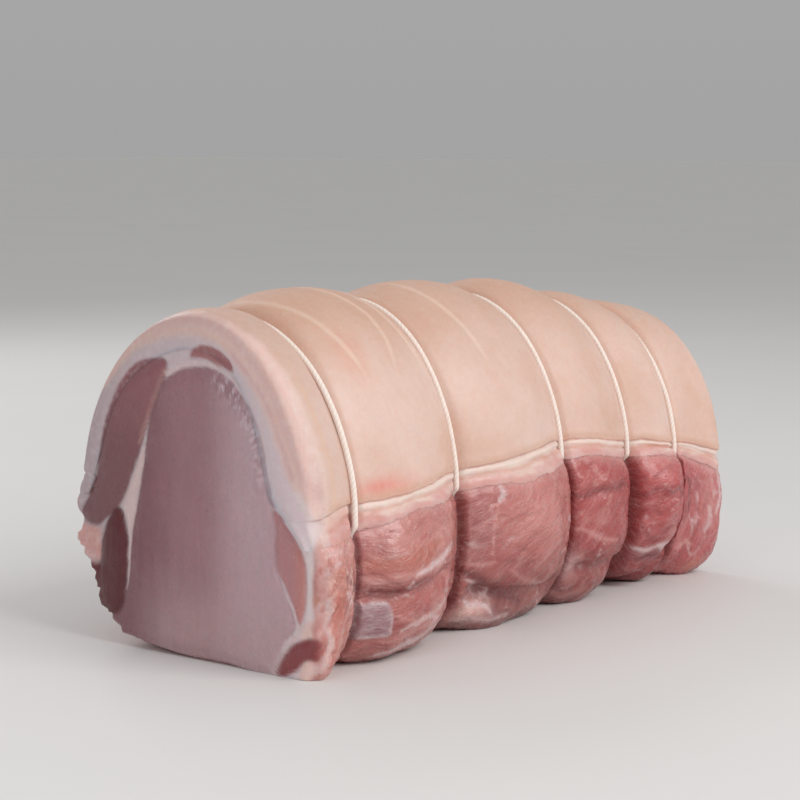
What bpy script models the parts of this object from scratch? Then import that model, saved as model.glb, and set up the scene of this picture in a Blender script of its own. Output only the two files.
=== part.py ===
"""Raw pork loin, rolled and tied with five loops of butcher's string, lying on its rib side.

The near cut face is at -X, the length runs along +X, the side with the straight rind edge
is -Y, and the loin rests on z = 0. Sizes are in millimetres until a mesh is made. A point of
the surface is given by its distance along the loin from the near cut face, by its turn, the
angle round the loin's axis in degrees (0 at the crown, 90 at the -Y side, -90 at the +Y side),
and by its reach, the distance from the axis.
"""

import math

import bmesh
import bpy
import numpy as np
from mathutils import Vector

MM = 0.001

LENGTH = 236.0
AXIS_HEIGHT = 46.0
SIDE_SHIFT = -0.4

STRING_PLACES = (19.2, 77.4, 138.3, 181.8, 209.1)
STRING_DIAMETER = 2.0
STRING_CLEARANCE = 0.4
STRING_STEPS = 48
HULL_STEPS = 8 * STRING_STEPS

# The loin is measured at its two ends and at each string, in this order along the length.
STATIONS = (0.0,) + STRING_PLACES + (LENGTH,)
CROWN_HEIGHT = (111.5, 110.0, 112.0, 110.5, 107.3, 103.8, 99.5)
NEAR_HALF_WIDTH = (52.0, 52.0, 46.5, 46.0, 44.0, 46.6, 51.0)
FAR_HALF_WIDTH = (52.0, 50.5, 48.5, 48.0, 46.0, 45.0, 44.0)
NEAR_FOOT_SQUARENESS = (7.0, 5.0, 3.3, 3.4, 2.8, 3.2, 5.0)
FAR_FOOT_SQUARENESS = (2.1, 2.4, 2.8, 2.8, 2.6, 2.6, 2.8)

# Turns at which the rind ends, and at which the band of fat that shows below it ends.
NEAR_RIND_EDGE = (85.0, 81.0, 76.0, 71.5, 76.5, 81.0, 88.0)
NEAR_FAT_EDGE = (96.0, 92.0, 84.5, 80.0, 84.0, 87.5, 96.0)
FAR_RIND_EDGE = (-78.0, -80.0, -77.0, -74.0, -78.0, -80.0, -84.0)
FAR_FAT_EDGE = (-86.0, -88.0, -85.0, -82.0, -85.0, -88.0, -92.0)

# Swelling of the rind and of the bare meat in each of the six stretches that the strings leave.
RIND_SWELL = (1.0, 5.5, 5.5, 5.5, 2.8, 1.5)
MEAT_SWELL = (2.5, 7.0, 7.0, 5.0, 5.0, 0.5)
SWELL_ROUNDNESS = 2.4
UNEVENNESS = 0.6

# Each string lies in a channel, which the bare meat closes over with a lip on each side.
CHANNEL_DEPTH = 1.3
CHANNEL_FLOOR = 1.5
CHANNEL_TOP = 3.4
LIP_HEIGHT = 2.4

# At -Y the meat just before a string stands lower: the share that is left at each string.
LIP_SHARES = (0.3, 0.25, 1.0, 0.1, 1.0)
AFTER_LIP_SHARES = (0.2, 0.75, 1.0, 1.0, 1.0)
LIP_REACH = 8.0
LIP_START = 1.5

# Underneath, the strings run clear of the floor and the meat between them is pressed flat.
UNDERSIDE = (125.0, 165.0)
FOOT_LIFT = 2.0
FOOT_PRESS = 1.5
LOOSE_RISE = 3.0

RIND_STEP = 1.3
RIND_STEP_TURN = 1.2
FAT_EDGE_THICKNESS = 4.0
CROWN_FAT = 9.5
NEAR_FAT = 14.5
FAR_FAT = 6.5
FAT_TAPER = 24.0
PIECE_GAP = 0.35

# The rims of the cut faces are rounded: how deep along the loin, how far in at -Y and at +Y.
NEAR_FACE_RIM = (9.0, 5.5, 0.8)
FAR_FACE_RIM = (8.0, 4.5, 4.5)
FACE_DISH = 1.2
FACE_RINGS = ((0.25, 0.6), (0.6, 1.0))

# Lumps and hollows of the bare meat: place along the loin, turn, reach along, reach round, height.
LUMPS = (
    (4.0, 142.0, 13.0, 14.0, 4.5),
    (11.0, 108.0, 9.0, 14.0, 2.0),
    (46.0, 103.0, 22.0, 15.0, 2.0),
    (44.0, 138.0, 20.0, 12.0, -3.0),
    (84.0, 104.0, 9.0, 20.0, 1.5),
    (116.0, 106.0, 20.0, 20.0, 5.0),
    (100.0, 140.0, 16.0, 10.0, 4.0),
    (124.0, 138.0, 10.0, 9.0, 1.5),
    (160.0, 93.0, 18.0, 9.0, 3.0),
    (158.0, 112.0, 17.0, 11.0, 2.5),
    (156.0, 140.0, 20.0, 10.0, 3.0),
    (195.0, 99.0, 12.0, 14.0, 3.5),
    (194.0, 136.0, 14.0, 10.0, 3.0),
    (221.0, 108.0, 9.0, 18.0, -1.2),
    (222.0, 138.0, 10.0, 12.0, 3.0),
    (50.0, -108.0, 22.0, 16.0, 4.0),
    (44.0, -140.0, 20.0, 11.0, 3.0),
    (107.0, -104.0, 24.0, 14.0, 4.5),
    (110.0, -136.0, 22.0, 12.0, 3.5),
    (160.0, -108.0, 17.0, 17.0, 4.0),
    (196.0, -112.0, 11.0, 18.0, 3.5),
    (222.0, -110.0, 9.0, 16.0, 2.5),
    (4.0, -112.0, 14.0, 20.0, -4.5),
    (3.0, -103.0, 6.0, 5.0, 2.6),
    (2.0, -122.0, 8.0, 9.0, -1.5),
)
LUMP_FALLOFF = 1.5

# Folds between the muscles: start and end along the loin, turn at each end, width round, depth.
FOLDS = (
    (12.0, 66.0, 114.0, 111.0, 3.2, 3.2),
    (82.0, 134.0, 124.0, 128.0, 4.0, 4.5),
    (142.0, 172.0, 95.0, 93.0, 2.6, 2.0),
    (142.0, 178.0, 124.0, 126.0, 3.5, 3.0),
    (186.0, 206.0, 103.0, 99.0, 2.8, 2.2),
    (186.0, 210.0, 144.0, 120.0, 5.5, 6.5),
    (-20.0, 11.0, -96.5, -96.5, 3.5, 3.0),
    (24.0, 74.0, -124.0, -122.0, 4.0, 4.0),
    (82.0, 134.0, -120.0, -122.0, 4.0, 4.0),
    (142.0, 206.0, -128.0, -130.0, 4.0, 3.5),
)

# Points round each solid, and the rings of points in each stretch between rim and strings.
RIND_POINTS = 27
MEAT_POINTS = 30
INSIDE_POINTS = 14
RIM_COLUMNS = 5
STRETCH_COLUMNS = (1, 6, 6, 5, 4, 1)

# Each loop is tied at the back: the knot's turn, radius, flatness and lift, and its cut ends,
# each by how far it runs along the loin and round it.
KNOT_TURN = -60.0
KNOT_RADIUS = 2.6
KNOT_FLATNESS = 0.77
KNOT_LIFT = 3.1
TAIL_RUNS = ((9.0, 9.0), (-8.0, -8.0))
TAIL_LIFT = 2.6

RIND_COLOUR = (0.80, 0.56, 0.44)
MEAT_COLOUR = (0.50, 0.20, 0.19)
COTTON_COLOUR = (0.86, 0.82, 0.74)


def ramp(value, start, end):
    """0 up to the start, 1 from the end, and smooth between them."""
    share = np.clip((value - start) / (end - start), 0, 1)
    return share * share * (3 - 2 * share)


def eased(along, sizes):
    """Reads a size between the stations, level at each station."""
    along = np.asarray(along, float)
    places = np.array(STATIONS)
    sizes = np.array(sizes)
    index = np.clip(np.searchsorted(places, along, side="right") - 1, 0, len(places) - 2)
    share = ramp(along, places[index], places[index + 1])
    return sizes[index] * (1 - share) + sizes[index + 1] * share


def swell(along, heights):
    """The bulge in each stretch: nothing at a string, most halfway to the next."""
    along = np.asarray(along, float)
    rise = np.zeros_like(along)
    for height, start, end in zip(heights, STATIONS, STATIONS[1:]):
        inside = (along >= start) & (along <= end)
        # Each end stretch is the half of a bulge that the cut has left.
        first = -end if start == 0 else start + CHANNEL_FLOOR
        last = 2 * LENGTH - start if end == LENGTH else end - CHANNEL_FLOOR
        share = np.clip((along - first) / (last - first), 0, 1)
        shape = 1 - np.abs(2 * share - 1) ** SWELL_ROUNDNESS
        rise = np.where(inside, height * shape, rise)
    return rise


def channel(along):
    """1 in the groove that each string has pressed into the surface, 0 beside it."""
    pressed = np.zeros_like(np.asarray(along, float))
    for where in STRING_PLACES:
        apart = np.abs(along - where)
        pressed = np.maximum(pressed, 1 - ramp(apart, CHANNEL_FLOOR, CHANNEL_TOP))
    return pressed


def rim(along, turn):
    """How far the rounded rims of the two cut faces turn in."""
    side = (1 + np.sin(np.radians(turn))) / 2
    total = 0
    for (depth, near_inset, far_inset), to_face in (
        (NEAR_FACE_RIM, along),
        (FAR_FACE_RIM, LENGTH - along),
    ):
        inset = near_inset * side + far_inset * (1 - side)
        total = total + inset * (1 - np.sqrt(1 - np.clip(1 - to_face / depth, 0, 1) ** 2))
    return total


def unevenness(along, turn):
    """Broad low waves over the whole loin, so that no stretch is quite regular."""
    angle = np.radians(turn)
    waves = np.sin(along / 17 + 2 * angle) + np.sin(along / 29 - 3 * angle + 1.3)
    return UNEVENNESS * (waves + 0.7 * np.sin(5 * angle + along / 41))


def section(along, turn):
    """The plain cross-section: a round arch above the axis on a squarer foot below it."""
    sine = np.abs(np.sin(np.radians(turn)))
    cosine = np.cos(np.radians(turn))
    near = turn >= 0
    width = np.where(near, eased(along, NEAR_HALF_WIDTH), eased(along, FAR_HALF_WIDTH))
    power = np.where(
        near, eased(along, NEAR_FOOT_SQUARENESS), eased(along, FAR_FOOT_SQUARENESS)
    )
    arch = eased(along, CROWN_HEIGHT) - AXIS_HEIGHT
    top = 1 / np.sqrt((sine / width) ** 2 + (cosine / arch) ** 2)
    foot = ((sine / width) ** power + (np.abs(cosine) / AXIS_HEIGHT) ** power) ** (-1 / power)
    return np.where(cosine >= 0, top, foot)


def lumps_and_folds(along, turn):
    """Relief of the bare meat: muscles that stand out and the folds that part them."""
    height = np.zeros(np.broadcast(along, turn).shape)
    for where, middle, reach_along, reach_round, rise in LUMPS:
        off = ((along - where) / reach_along) ** 2 + ((turn - middle) / reach_round) ** 2
        height = height + rise * np.exp(-off * LUMP_FALLOFF)
    for start, end, turn_start, turn_end, width, depth in FOLDS:
        share = np.clip((along - start) / (end - start), 0, 1)
        middle = turn_start + (turn_end - turn_start) * share
        fade = ramp(along, start - 4, start + 6) * (1 - ramp(along, end - 6, end + 4))
        height = height - depth * fade * np.exp(-(((turn - middle) / width) ** 2))
    return height


def bare_meat(along, turn):
    """1 where the meat is bare, 0 on the rind, blended over the band of fat between them."""
    near = ramp(turn, eased(along, NEAR_RIND_EDGE), eased(along, NEAR_FAT_EDGE) + 4)
    far = ramp(-turn, -eased(along, FAR_RIND_EDGE), 4 - eased(along, FAR_FAT_EDGE))
    return np.where(turn >= 0, near, far)


def lip_share(along, turn):
    """How much of its lip, swell and lumps the meat has before and after each string at -Y."""
    share = np.ones(np.broadcast(along, turn).shape)
    for where, left, right in zip(STRING_PLACES, LIP_SHARES, AFTER_LIP_SHARES):
        before = where - along
        fade = np.exp(-((before / LIP_REACH) ** 2)) * (turn > 0)
        share = share - (1 - left) * fade * ramp(before, 0, LIP_START)
        share = share - (1 - right) * fade * ramp(-before, 0, LIP_START)
    return share


def rind_step(along, turn):
    """1 on the band of fat just below the rind edge, fading out over the bare meat."""
    past = np.where(
        turn >= 0, turn - eased(along, NEAR_RIND_EDGE), eased(along, FAR_RIND_EDGE) - turn
    )
    return ramp(past, 0, RIND_STEP_TURN) * (1 - ramp(past, 9, 20))


def skin(along, turn):
    """The reach of the outside of the loin."""
    along, turn = np.broadcast_arrays(np.asarray(along, float), np.asarray(turn, float))
    bare = bare_meat(along, turn)
    under = ramp(np.abs(turn), *UNDERSIDE)
    pressed = channel(along)
    loose = np.clip(swell(along, np.full(len(RIND_SWELL), LOOSE_RISE)), 0, 1)
    meat_rise = (swell(along, MEAT_SWELL) + LIP_HEIGHT * (1 - pressed)) * (1 - under)
    meat_rise = (meat_rise + loose * lumps_and_folds(along, turn)) * lip_share(along, turn)
    rise = swell(along, RIND_SWELL) * (1 - bare) + meat_rise * bare
    rise = rise + loose * unevenness(along, turn)
    rise = rise - CHANNEL_DEPTH * pressed - RIND_STEP * rind_step(along, turn)
    foot_lift = under * (FOOT_LIFT * (1 - loose) - FOOT_PRESS * loose)
    return section(along, turn) + rise - rim(along, turn) - foot_lift


def fat_thickness(along, turn):
    """Depth of the fat under the rind, thinning to the two edges of the layer."""
    near = turn >= 0
    side = ramp(np.abs(turn), 5, 50)
    full = CROWN_FAT + np.where(near, NEAR_FAT - CROWN_FAT, FAR_FAT - CROWN_FAT) * side
    left = np.where(near, eased(along, NEAR_FAT_EDGE) - turn, turn - eased(along, FAR_FAT_EDGE))
    return FAT_EDGE_THICKNESS + (full - FAT_EDGE_THICKNESS) * ramp(left, 0, FAT_TAPER)


def place(along, turn, reach):
    """Points in metres, with what would hang below the floor pressed flat on it."""
    along, turn, reach = np.broadcast_arrays(along, turn, reach)
    sideways = -reach * np.sin(np.radians(turn)) + SIDE_SHIFT
    height = np.maximum(AXIS_HEIGHT + reach * np.cos(np.radians(turn)), 0)
    return np.stack([along - LENGTH / 2, sideways, height], axis=-1) * MM


def columns():
    """Places along the loin of the rings of points, closest at the rims and the strings."""
    quarter = np.arange(RIM_COLUMNS) / RIM_COLUMNS * math.pi / 2
    near_depth, far_depth = NEAR_FACE_RIM[0], FAR_FACE_RIM[0]
    found = list(near_depth * (1 - np.cos(quarter)))
    found += list(LENGTH - far_depth * (1 - np.cos(quarter)))
    for where in STRING_PLACES:
        for apart in (CHANNEL_FLOOR, CHANNEL_TOP):
            found += [where - apart, where + apart]
    starts = [near_depth] + [where + CHANNEL_TOP for where in STRING_PLACES]
    ends = [where - CHANNEL_TOP for where in STRING_PLACES] + [LENGTH - far_depth]
    for count, start, end in zip(STRETCH_COLUMNS, starts, ends):
        found += list(np.linspace(start, end, count + 2)[1:-1])
    return np.array(sorted(found))[:, None]


def turns_between(first, last, count):
    """Evenly spaced turns from one edge to the other, a row for each place along the loin."""
    share = np.linspace(0, 1, count)
    return first * (1 - share) + last * share


def link(name, data):
    piece = bpy.data.objects.new(name, data)
    bpy.context.scene.collection.objects.link(piece)
    return piece


def solid_from_loops(name, loops, near_rings, far_rings, material):
    """One closed solid from equal loops of points, each end closed through its smaller rings."""
    mesh = bmesh.new()

    def join(row, after):
        for i in range(len(row)):
            j = (i + 1) % len(row)
            mesh.faces.new((row[i], row[j], after[j], after[i]))

    rows = [[mesh.verts.new(point) for point in loop] for loop in loops]
    for row, after in zip(rows, rows[1:]):
        join(row, after)
    for row, rings in ((rows[0], near_rings), (rows[-1], far_rings)):
        for ring in rings:
            inner = [mesh.verts.new(point) for point in ring]
            join(row, inner)
            row = inner
        mesh.faces.new(row)
    bmesh.ops.recalc_face_normals(mesh, faces=mesh.faces)
    bmesh.ops.triangulate(mesh, faces=mesh.faces)
    data = bpy.data.meshes.new(name)
    mesh.to_mesh(data)
    mesh.free()
    data.materials.append(material)
    data.shade_smooth()
    data.set_sharp_from_angle(angle=math.radians(50))
    return link(name, data)


def make_material(name, colour, roughness):
    material = bpy.data.materials.new(name)
    material.use_nodes = True
    shader = material.node_tree.nodes["Principled BSDF"]
    shader.inputs["Base Color"].default_value = (*colour, 1)
    shader.inputs["Roughness"].default_value = roughness
    shader.inputs["Metallic"].default_value = 0
    return material


def fat_cap(along):
    """The rind and its fat: an arch over the crown from one bare side of the meat to the other."""
    near_edge, far_edge = eased(along, NEAR_FAT_EDGE), eased(along, FAR_FAT_EDGE)
    near_rind, far_rind = eased(along, NEAR_RIND_EDGE), eased(along, FAR_RIND_EDGE)
    rind = turns_between(far_rind, near_rind, RIND_POINTS)
    foot = RIND_STEP_TURN
    outer = np.hstack([far_edge, far_rind - foot, rind, near_rind + foot, near_edge])
    inner = turns_between(near_edge, far_edge, INSIDE_POINTS)
    outside = place(along, outer, skin(along, outer))
    inside = place(along, inner, skin(along, inner) - fat_thickness(along, inner))
    loops = np.concatenate([outside, inside], axis=1)
    material = make_material("rind_and_fat", RIND_COLOUR, 0.5)
    return solid_from_loops("fat_cap", loops, (), (), material)


def loin_meat(along):
    """The boned loin itself, under the fat and bare below it, with its cut faces dished."""
    near_edge, far_edge = eased(along, NEAR_FAT_EDGE), eased(along, FAR_FAT_EDGE)
    gap = math.degrees(PIECE_GAP / AXIS_HEIGHT)
    covered = turns_between(far_edge, near_edge, INSIDE_POINTS)
    bare = turns_between(near_edge + gap, far_edge - gap + 360, MEAT_POINTS)
    bare = np.where(bare > 180, bare - 360, bare)
    under_fat = skin(along, covered) - fat_thickness(along, covered) - PIECE_GAP
    loops = np.concatenate(
        [place(along, covered, under_fat), place(along, bare, skin(along, bare))], axis=1
    )

    def rings(loop, inward):
        middle = loop.mean(axis=0)
        dish = Vector((inward * FACE_DISH * MM, 0, 0))
        return [loop + (middle - loop) * share + dish * deep for share, deep in FACE_RINGS]

    material = make_material("lean_meat", MEAT_COLOUR, 0.35)
    near_rings, far_rings = rings(loops[0], 1), rings(loops[-1], -1)
    return solid_from_loops("loin_meat", loops, near_rings, far_rings, material)


def taut(turn, reach):
    """Pulls a closed line tight: the reach of its points' convex hull, at the same turns."""
    angle = np.radians(turn)
    corners = np.stack([reach * np.sin(angle), reach * np.cos(angle)], axis=1)
    corners = np.roll(corners, -corners[:, 1].argmax(), axis=0)
    hull = []
    for corner in np.concatenate([corners, corners[:1]]):
        while len(hull) > 1:
            last, following = hull[-1] - hull[-2], corner - hull[-1]
            if last[0] * following[1] < last[1] * following[0]:
                break
            hull.pop()
        hull.append(corner)
    hull = np.array(hull[:-1])
    edge = np.roll(hull, -1, axis=0) - hull
    outward = np.stack([-edge[:, 1], edge[:, 0]], axis=1)
    distance = (outward * hull).sum(axis=1)
    facing = outward @ np.stack([np.sin(angle), np.cos(angle)])
    tiny = 1e-9
    return (distance[:, None] / np.maximum(facing, tiny)).min(axis=0)


def tube(name, points, closed):
    """A string along these points, as a mesh with six sides."""
    curve = bpy.data.curves.new(name + "_path", "CURVE")
    curve.dimensions = "3D"
    curve.bevel_depth = STRING_DIAMETER / 2 * MM
    curve.bevel_resolution = 1
    curve.use_fill_caps = not closed
    spline = curve.splines.new("POLY")
    spline.points.add(len(points) - 1)
    for target, point in zip(spline.points, points):
        target.co = (*point, 1)
    spline.use_cyclic_u = closed
    path = bpy.data.objects.new(name + "_path", curve)
    data = bpy.data.meshes.new_from_object(path)
    bpy.data.objects.remove(path)
    data.name = name
    return link(name, data)


def knot(name, middle):
    """A small flattened round knot."""
    mesh = bmesh.new()
    bmesh.ops.create_icosphere(mesh, subdivisions=2, radius=KNOT_RADIUS * MM)
    bmesh.ops.scale(mesh, vec=(1, 1, KNOT_FLATNESS), verts=mesh.verts)
    data = bpy.data.meshes.new(name)
    mesh.to_mesh(data)
    mesh.free()
    piece = link(name, data)
    piece.location = middle
    piece.rotation_euler.x = math.radians(-KNOT_TURN)
    return piece


def string_loop(number, where, material):
    """One loop of string, taut over its groove, with its knot and the two ends cut short."""
    name = f"string_{number}"
    turn = np.linspace(-180, 180, HULL_STEPS, endpoint=False)
    reach = taut(turn, skin(where, turn)) + STRING_DIAMETER / 2 + STRING_CLEARANCE
    kept = slice(None, None, HULL_STEPS // STRING_STEPS)
    piece = tube(name, place(where, turn[kept], reach[kept]), True)
    piece.data.materials.append(material)

    middle = place(where, KNOT_TURN, skin(where, KNOT_TURN) + KNOT_LIFT)
    parts = [knot(name + "_knot", middle)]
    for along, round_by in TAIL_RUNS:
        end_turn = KNOT_TURN + round_by
        tip = place(where + along, end_turn, skin(where + along, end_turn) + TAIL_LIFT)
        parts.append(tube(f"{name}_tail_{len(parts)}", (middle, tip), False))

    joined = bpy.data.collections.new(name + "_ends")
    bpy.context.scene.collection.children.link(joined)
    for part in parts:
        bpy.context.scene.collection.objects.unlink(part)
        joined.objects.link(part)
        part.hide_render = True
        part.display_type = "WIRE"
    union = piece.modifiers.new("knot_and_ends", "BOOLEAN")
    union.operation = "UNION"
    union.operand_type = "COLLECTION"
    union.collection = joined
    return piece


def clear_scene():
    for thing in list(bpy.data.objects):
        bpy.data.objects.remove(thing, do_unlink=True)


def main():
    clear_scene()
    along = columns()
    fat_cap(along)
    loin_meat(along)
    cotton = make_material("cotton_string", COTTON_COLOUR, 0.85)
    for number, where in enumerate(STRING_PLACES, 1):
        string_loop(number, where, cotton)


main()
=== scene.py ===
"""Looks of a raw pork loin, rolled and tied with string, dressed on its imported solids.

The fat with its rind, the lean meat and each string are remade here as fine meshes from the
same named sizes as the solids, with the relief and the colours that the solids leave out. Sizes
are in millimetres until a mesh is made. A point of the skin is given by its distance along the
loin from the near cut face, by its turn, the angle round the loin's axis in degrees (0 at the
crown, 90 at the -Y side), and by its reach, the distance from the axis.
"""

import itertools
import math

import bmesh
import bpy
import numpy as np
from mathutils import Matrix, Vector


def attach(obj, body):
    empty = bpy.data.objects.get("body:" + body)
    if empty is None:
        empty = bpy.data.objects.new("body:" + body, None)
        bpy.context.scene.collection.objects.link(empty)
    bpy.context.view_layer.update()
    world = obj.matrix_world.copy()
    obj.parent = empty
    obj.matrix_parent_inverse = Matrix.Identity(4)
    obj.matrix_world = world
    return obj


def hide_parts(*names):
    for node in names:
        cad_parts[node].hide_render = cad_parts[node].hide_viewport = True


MM = 0.001

# Sizes as in the solids.
LENGTH = 236.0
AXIS_HEIGHT = 46.0
SIDE_SHIFT = -0.4
STRING_PLACES = (19.2, 77.4, 138.3, 181.8, 209.1)
STRING_DIAMETER = 2.0
STATIONS = (0.0,) + STRING_PLACES + (LENGTH,)
CROWN_HEIGHT = (111.5, 110.0, 112.0, 110.5, 107.3, 103.8, 99.5)
NEAR_HALF_WIDTH = (52.0, 52.0, 46.5, 46.0, 44.0, 46.6, 51.0)
FAR_HALF_WIDTH = (52.0, 50.5, 48.5, 48.0, 46.0, 45.0, 44.0)
NEAR_FOOT_SQUARENESS = (7.0, 5.0, 3.3, 3.4, 2.8, 3.2, 5.0)
FAR_FOOT_SQUARENESS = (2.1, 2.4, 2.8, 2.8, 2.6, 2.6, 2.8)
NEAR_RIND_EDGE = (85.0, 81.0, 76.0, 71.5, 76.5, 81.0, 88.0)
NEAR_FAT_EDGE = (96.0, 92.0, 84.5, 80.0, 84.0, 87.5, 96.0)
FAR_RIND_EDGE = (-78.0, -80.0, -77.0, -74.0, -78.0, -80.0, -84.0)
FAR_FAT_EDGE = (-86.0, -88.0, -85.0, -82.0, -85.0, -88.0, -92.0)
RIND_SWELL = (1.0, 5.5, 5.5, 5.5, 2.8, 1.5)
MEAT_SWELL = (2.5, 7.0, 7.0, 5.0, 5.0, 0.5)
SWELL_ROUNDNESS = 2.4
UNEVENNESS = 0.6
CHANNEL_DEPTH = 1.3
LIP_HEIGHT = 2.4
LIP_SHARES = (0.3, 0.25, 1.0, 0.1, 1.0)
AFTER_LIP_SHARES = (0.2, 0.75, 1.0, 1.0, 1.0)
LIP_REACH = 8.0
LIP_START = 1.5
UNDERSIDE = (125.0, 165.0)
FOOT_LIFT = 2.0
FOOT_PRESS = 1.5
LOOSE_RISE = 3.0
RIND_STEP = 1.3
RIND_STEP_FADE = (9.0, 20.0)
FAT_EDGE_THICKNESS = 4.0
CROWN_FAT = 9.5
NEAR_FAT = 14.5
FAR_FAT = 6.5
FAT_TAPER = 24.0
NEAR_FACE_RIM = (9.0, 5.5, 0.8)
FAR_FACE_RIM = (8.0, 4.5, 4.5)
FACE_DISH = 1.2
KNOT_TURN = -60.0

# Sizes finer than in the solids: half widths of the groove at a string, on its floor and at its
# top, the rind's step, and the knot's height over the skin.
CHANNEL_FLOOR = 1.0
CHANNEL_TOP = 3.6
RIND_STEP_TURN = 0.8
KNOT_LIFT = 2.6

# The bare meat at each string: its narrow groove, its higher lips, and how deep the string sinks.
BARE_CHANNEL_FLOOR = 0.7
BARE_CHANNEL_TOP = 2.0
BARE_LIP = 1.0
LIP_SPREAD = (2.0, 9.0)
BARE_SINK = 2.6

# The fat: how far it laps over the meat, how its cut ends stand out, and how its lips thin out.
FAT_OVERLAP = 0.6
RING_SWELL = 0.7
RING_GAP = 0.12
LIP_DROPS = (0.2, 0.9, 2.1)

# The string: how far its middle is over the groove, the step along it, the length of one twist,
# its sides and strands, and the size and the string of its knot.
STRING_LIFT = 0.72
STRING_STEP = 0.45
STRING_LAY = 5.4
STRING_SIDES = 20
STRANDS = 3
KNOT_SCALE = 0.72
KNOT_STRING_RADIUS = 0.85
KNOT_HALF = 1.4
END_LENGTH = 8.2

# Lumps of the bare meat: place along the loin, turn, reach along, reach round, height.
LUMPS = (
    (4, 142, 13, 14, 4.5),
    (11, 108, 9, 14, 2),
    (46, 103, 22, 15, 2),
    (44, 138, 20, 12, -3),
    (84, 104, 9, 20, 1.5),
    (116, 106, 20, 20, 5),
    (100, 140, 16, 10, 4),
    (124, 138, 10, 9, 1.5),
    (160, 93, 18, 9, 3),
    (158, 112, 17, 11, 2.5),
    (156, 140, 20, 10, 3),
    (195, 99, 12, 14, 3.5),
    (194, 136, 14, 10, 3),
    (221, 108, 9, 18, -1.2),
    (222, 138, 10, 12, 3),
    (50, -108, 22, 16, 4),
    (44, -140, 20, 11, 3),
    (107, -104, 24, 14, 4.5),
    (110, -136, 22, 12, 3.5),
    (160, -108, 17, 17, 4),
    (196, -112, 11, 18, 3.5),
    (222, -110, 9, 16, 2.5),
    (4, -112, 14, 20, -4.5),
    (3, -103, 6, 5, 2.6),
    (2, -122, 8, 9, -1.5),
)
LUMP_FALLOFF = 1.5

# Folds between the muscles: start and end along the loin, turn at each end, width round, depth.
FOLDS = (
    (12, 66, 114, 111, 3.2, 3.2),
    (82, 134, 124, 128, 4, 4.5),
    (142, 172, 95, 93, 2.6, 2),
    (142, 178, 124, 126, 3.5, 3),
    (186, 206, 103, 99, 2.8, 2.2),
    (186, 210, 144, 120, 5.5, 6.5),
    (-20, 11, -96.5, -96.5, 3.5, 3),
    (24, 74, -124, -122, 4, 4),
    (82, 134, -120, -122, 4, 4),
    (142, 206, -128, -130, 4, 3.5),
)

# Where the rind edge and the fat edge at -Y sag or lift between the strings: place, reach, turn.
RIND_DIPS = ((48, 26, 1.8), (104, 24, 1), (156, 15, 0.6), (8, 9, -0.6))
FAT_DIPS = (
    (27, 8, -1),
    (41, 11, -2.8),
    (66, 9, 0.8),
    (88, 8, -0.6),
    (110, 12, 2.2),
    (127, 9, 1.8),
    (150, 11, -0.6),
)

# Columns of points along the loin, rows round it, rings across the cut faces, and the numbers of
# points that a string, its knot and its ends are sampled at.
CAP_COLUMNS = 372
RIND_ROWS = 176
BAND_ROWS = 20
RING_ROWS = 18
MEAT_COLUMNS = 304
SIDE_ROWS = 86
LOW_ROWS = 46
FAR_SIDE_ROWS = 52
UNDER_FAT_ROWS = 15
FINE_STEPS = 14
FACE_RINGS = 76
FAR_FACE_RINGS = 24
RIM_COLUMNS = 14
COLUMN_SAMPLES = 6000
STRING_SAMPLES = 1440
KNOT_SAMPLES = 90
END_SAMPLES = 40

# How much more crowded the columns are at each string, and how far beside it.
CROWDING = 2.0
CROWDING_REACH = 2.8

# Edges sharper than this many degrees aren't shaded smooth.
SHARP_EDGE = 60

# Turns between which the meat's rows run below the loin, and degrees they reach in under the fat.
LOW_TURNS = (138.0, 224.0)
TUCK = 2.2

NOISE_TABLE = np.random.default_rng(7)
DIRECTIONS = NOISE_TABLE.normal(size=(256, 3))
DIRECTIONS /= np.linalg.norm(DIRECTIONS, axis=1)[:, None]
ORDER = NOISE_TABLE.permutation(256)
SEED_SHIFT = np.array([17.31, 5.77, 11.13])


def noise(points, size, seed=0):
    """Smooth noise between about -1 and 1, with features of this size in millimetres."""
    scaled = points / size + SEED_SHIFT * seed
    cell = np.floor(scaled).astype(int)
    offset = scaled - cell
    fade = offset**3 * (offset * (offset * 6 - 15) + 10)
    total = 0.0
    for corner in itertools.product((0, 1), repeat=3):
        key = ORDER[(cell[..., 0] + corner[0]) & 255]
        key = ORDER[(key + cell[..., 1] + corner[1]) & 255]
        key = ORDER[(key + cell[..., 2] + corner[2]) & 255]
        slope = (DIRECTIONS[key] * (offset - np.array(corner))).sum(axis=-1)
        weight = np.where(np.array(corner) == 1, fade, 1 - fade).prod(axis=-1)
        total = total + weight * slope
    return total * 1.6


def fractal(points, size, octaves=3, seed=0):
    """Noise with finer and weaker noise added to it, octave by octave."""
    total, whole = 0.0, 0.0
    for octave in range(octaves):
        share = 0.5**octave
        total = total + share * noise(points, size * share, seed + octave)
        whole += share
    return total / whole


def veins(points, size, width, seed=0):
    """1 along thin winding lines, 0 between them."""
    return bell(noise(points, size, seed), width)


def bell(off, width):
    """1 in the middle, where off is 0, and falling to 0 on both sides over about twice the width."""
    return np.exp(-((off / width) ** 2))


def spot(along, across, where, middle, reach_along, reach_across):
    """How far points are from the middle of a spot: squared, and 1 at its reach."""
    return ((along - where) / reach_along) ** 2 + ((across - middle) / reach_across) ** 2


def ramp(value, start, end):
    """0 up to the start, 1 from the end, and smooth between them."""
    share = np.clip((value - start) / (end - start), 0, 1)
    return share * share * (3 - 2 * share)


def eased(along, sizes):
    """Reads a size between the stations, level at each station."""
    along = np.asarray(along, float)
    places = np.array(STATIONS)
    sizes = np.array(sizes)
    index = np.clip(np.searchsorted(places, along, side="right") - 1, 0, len(places) - 2)
    share = ramp(along, places[index], places[index + 1])
    return sizes[index] * (1 - share) + sizes[index + 1] * share


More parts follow.
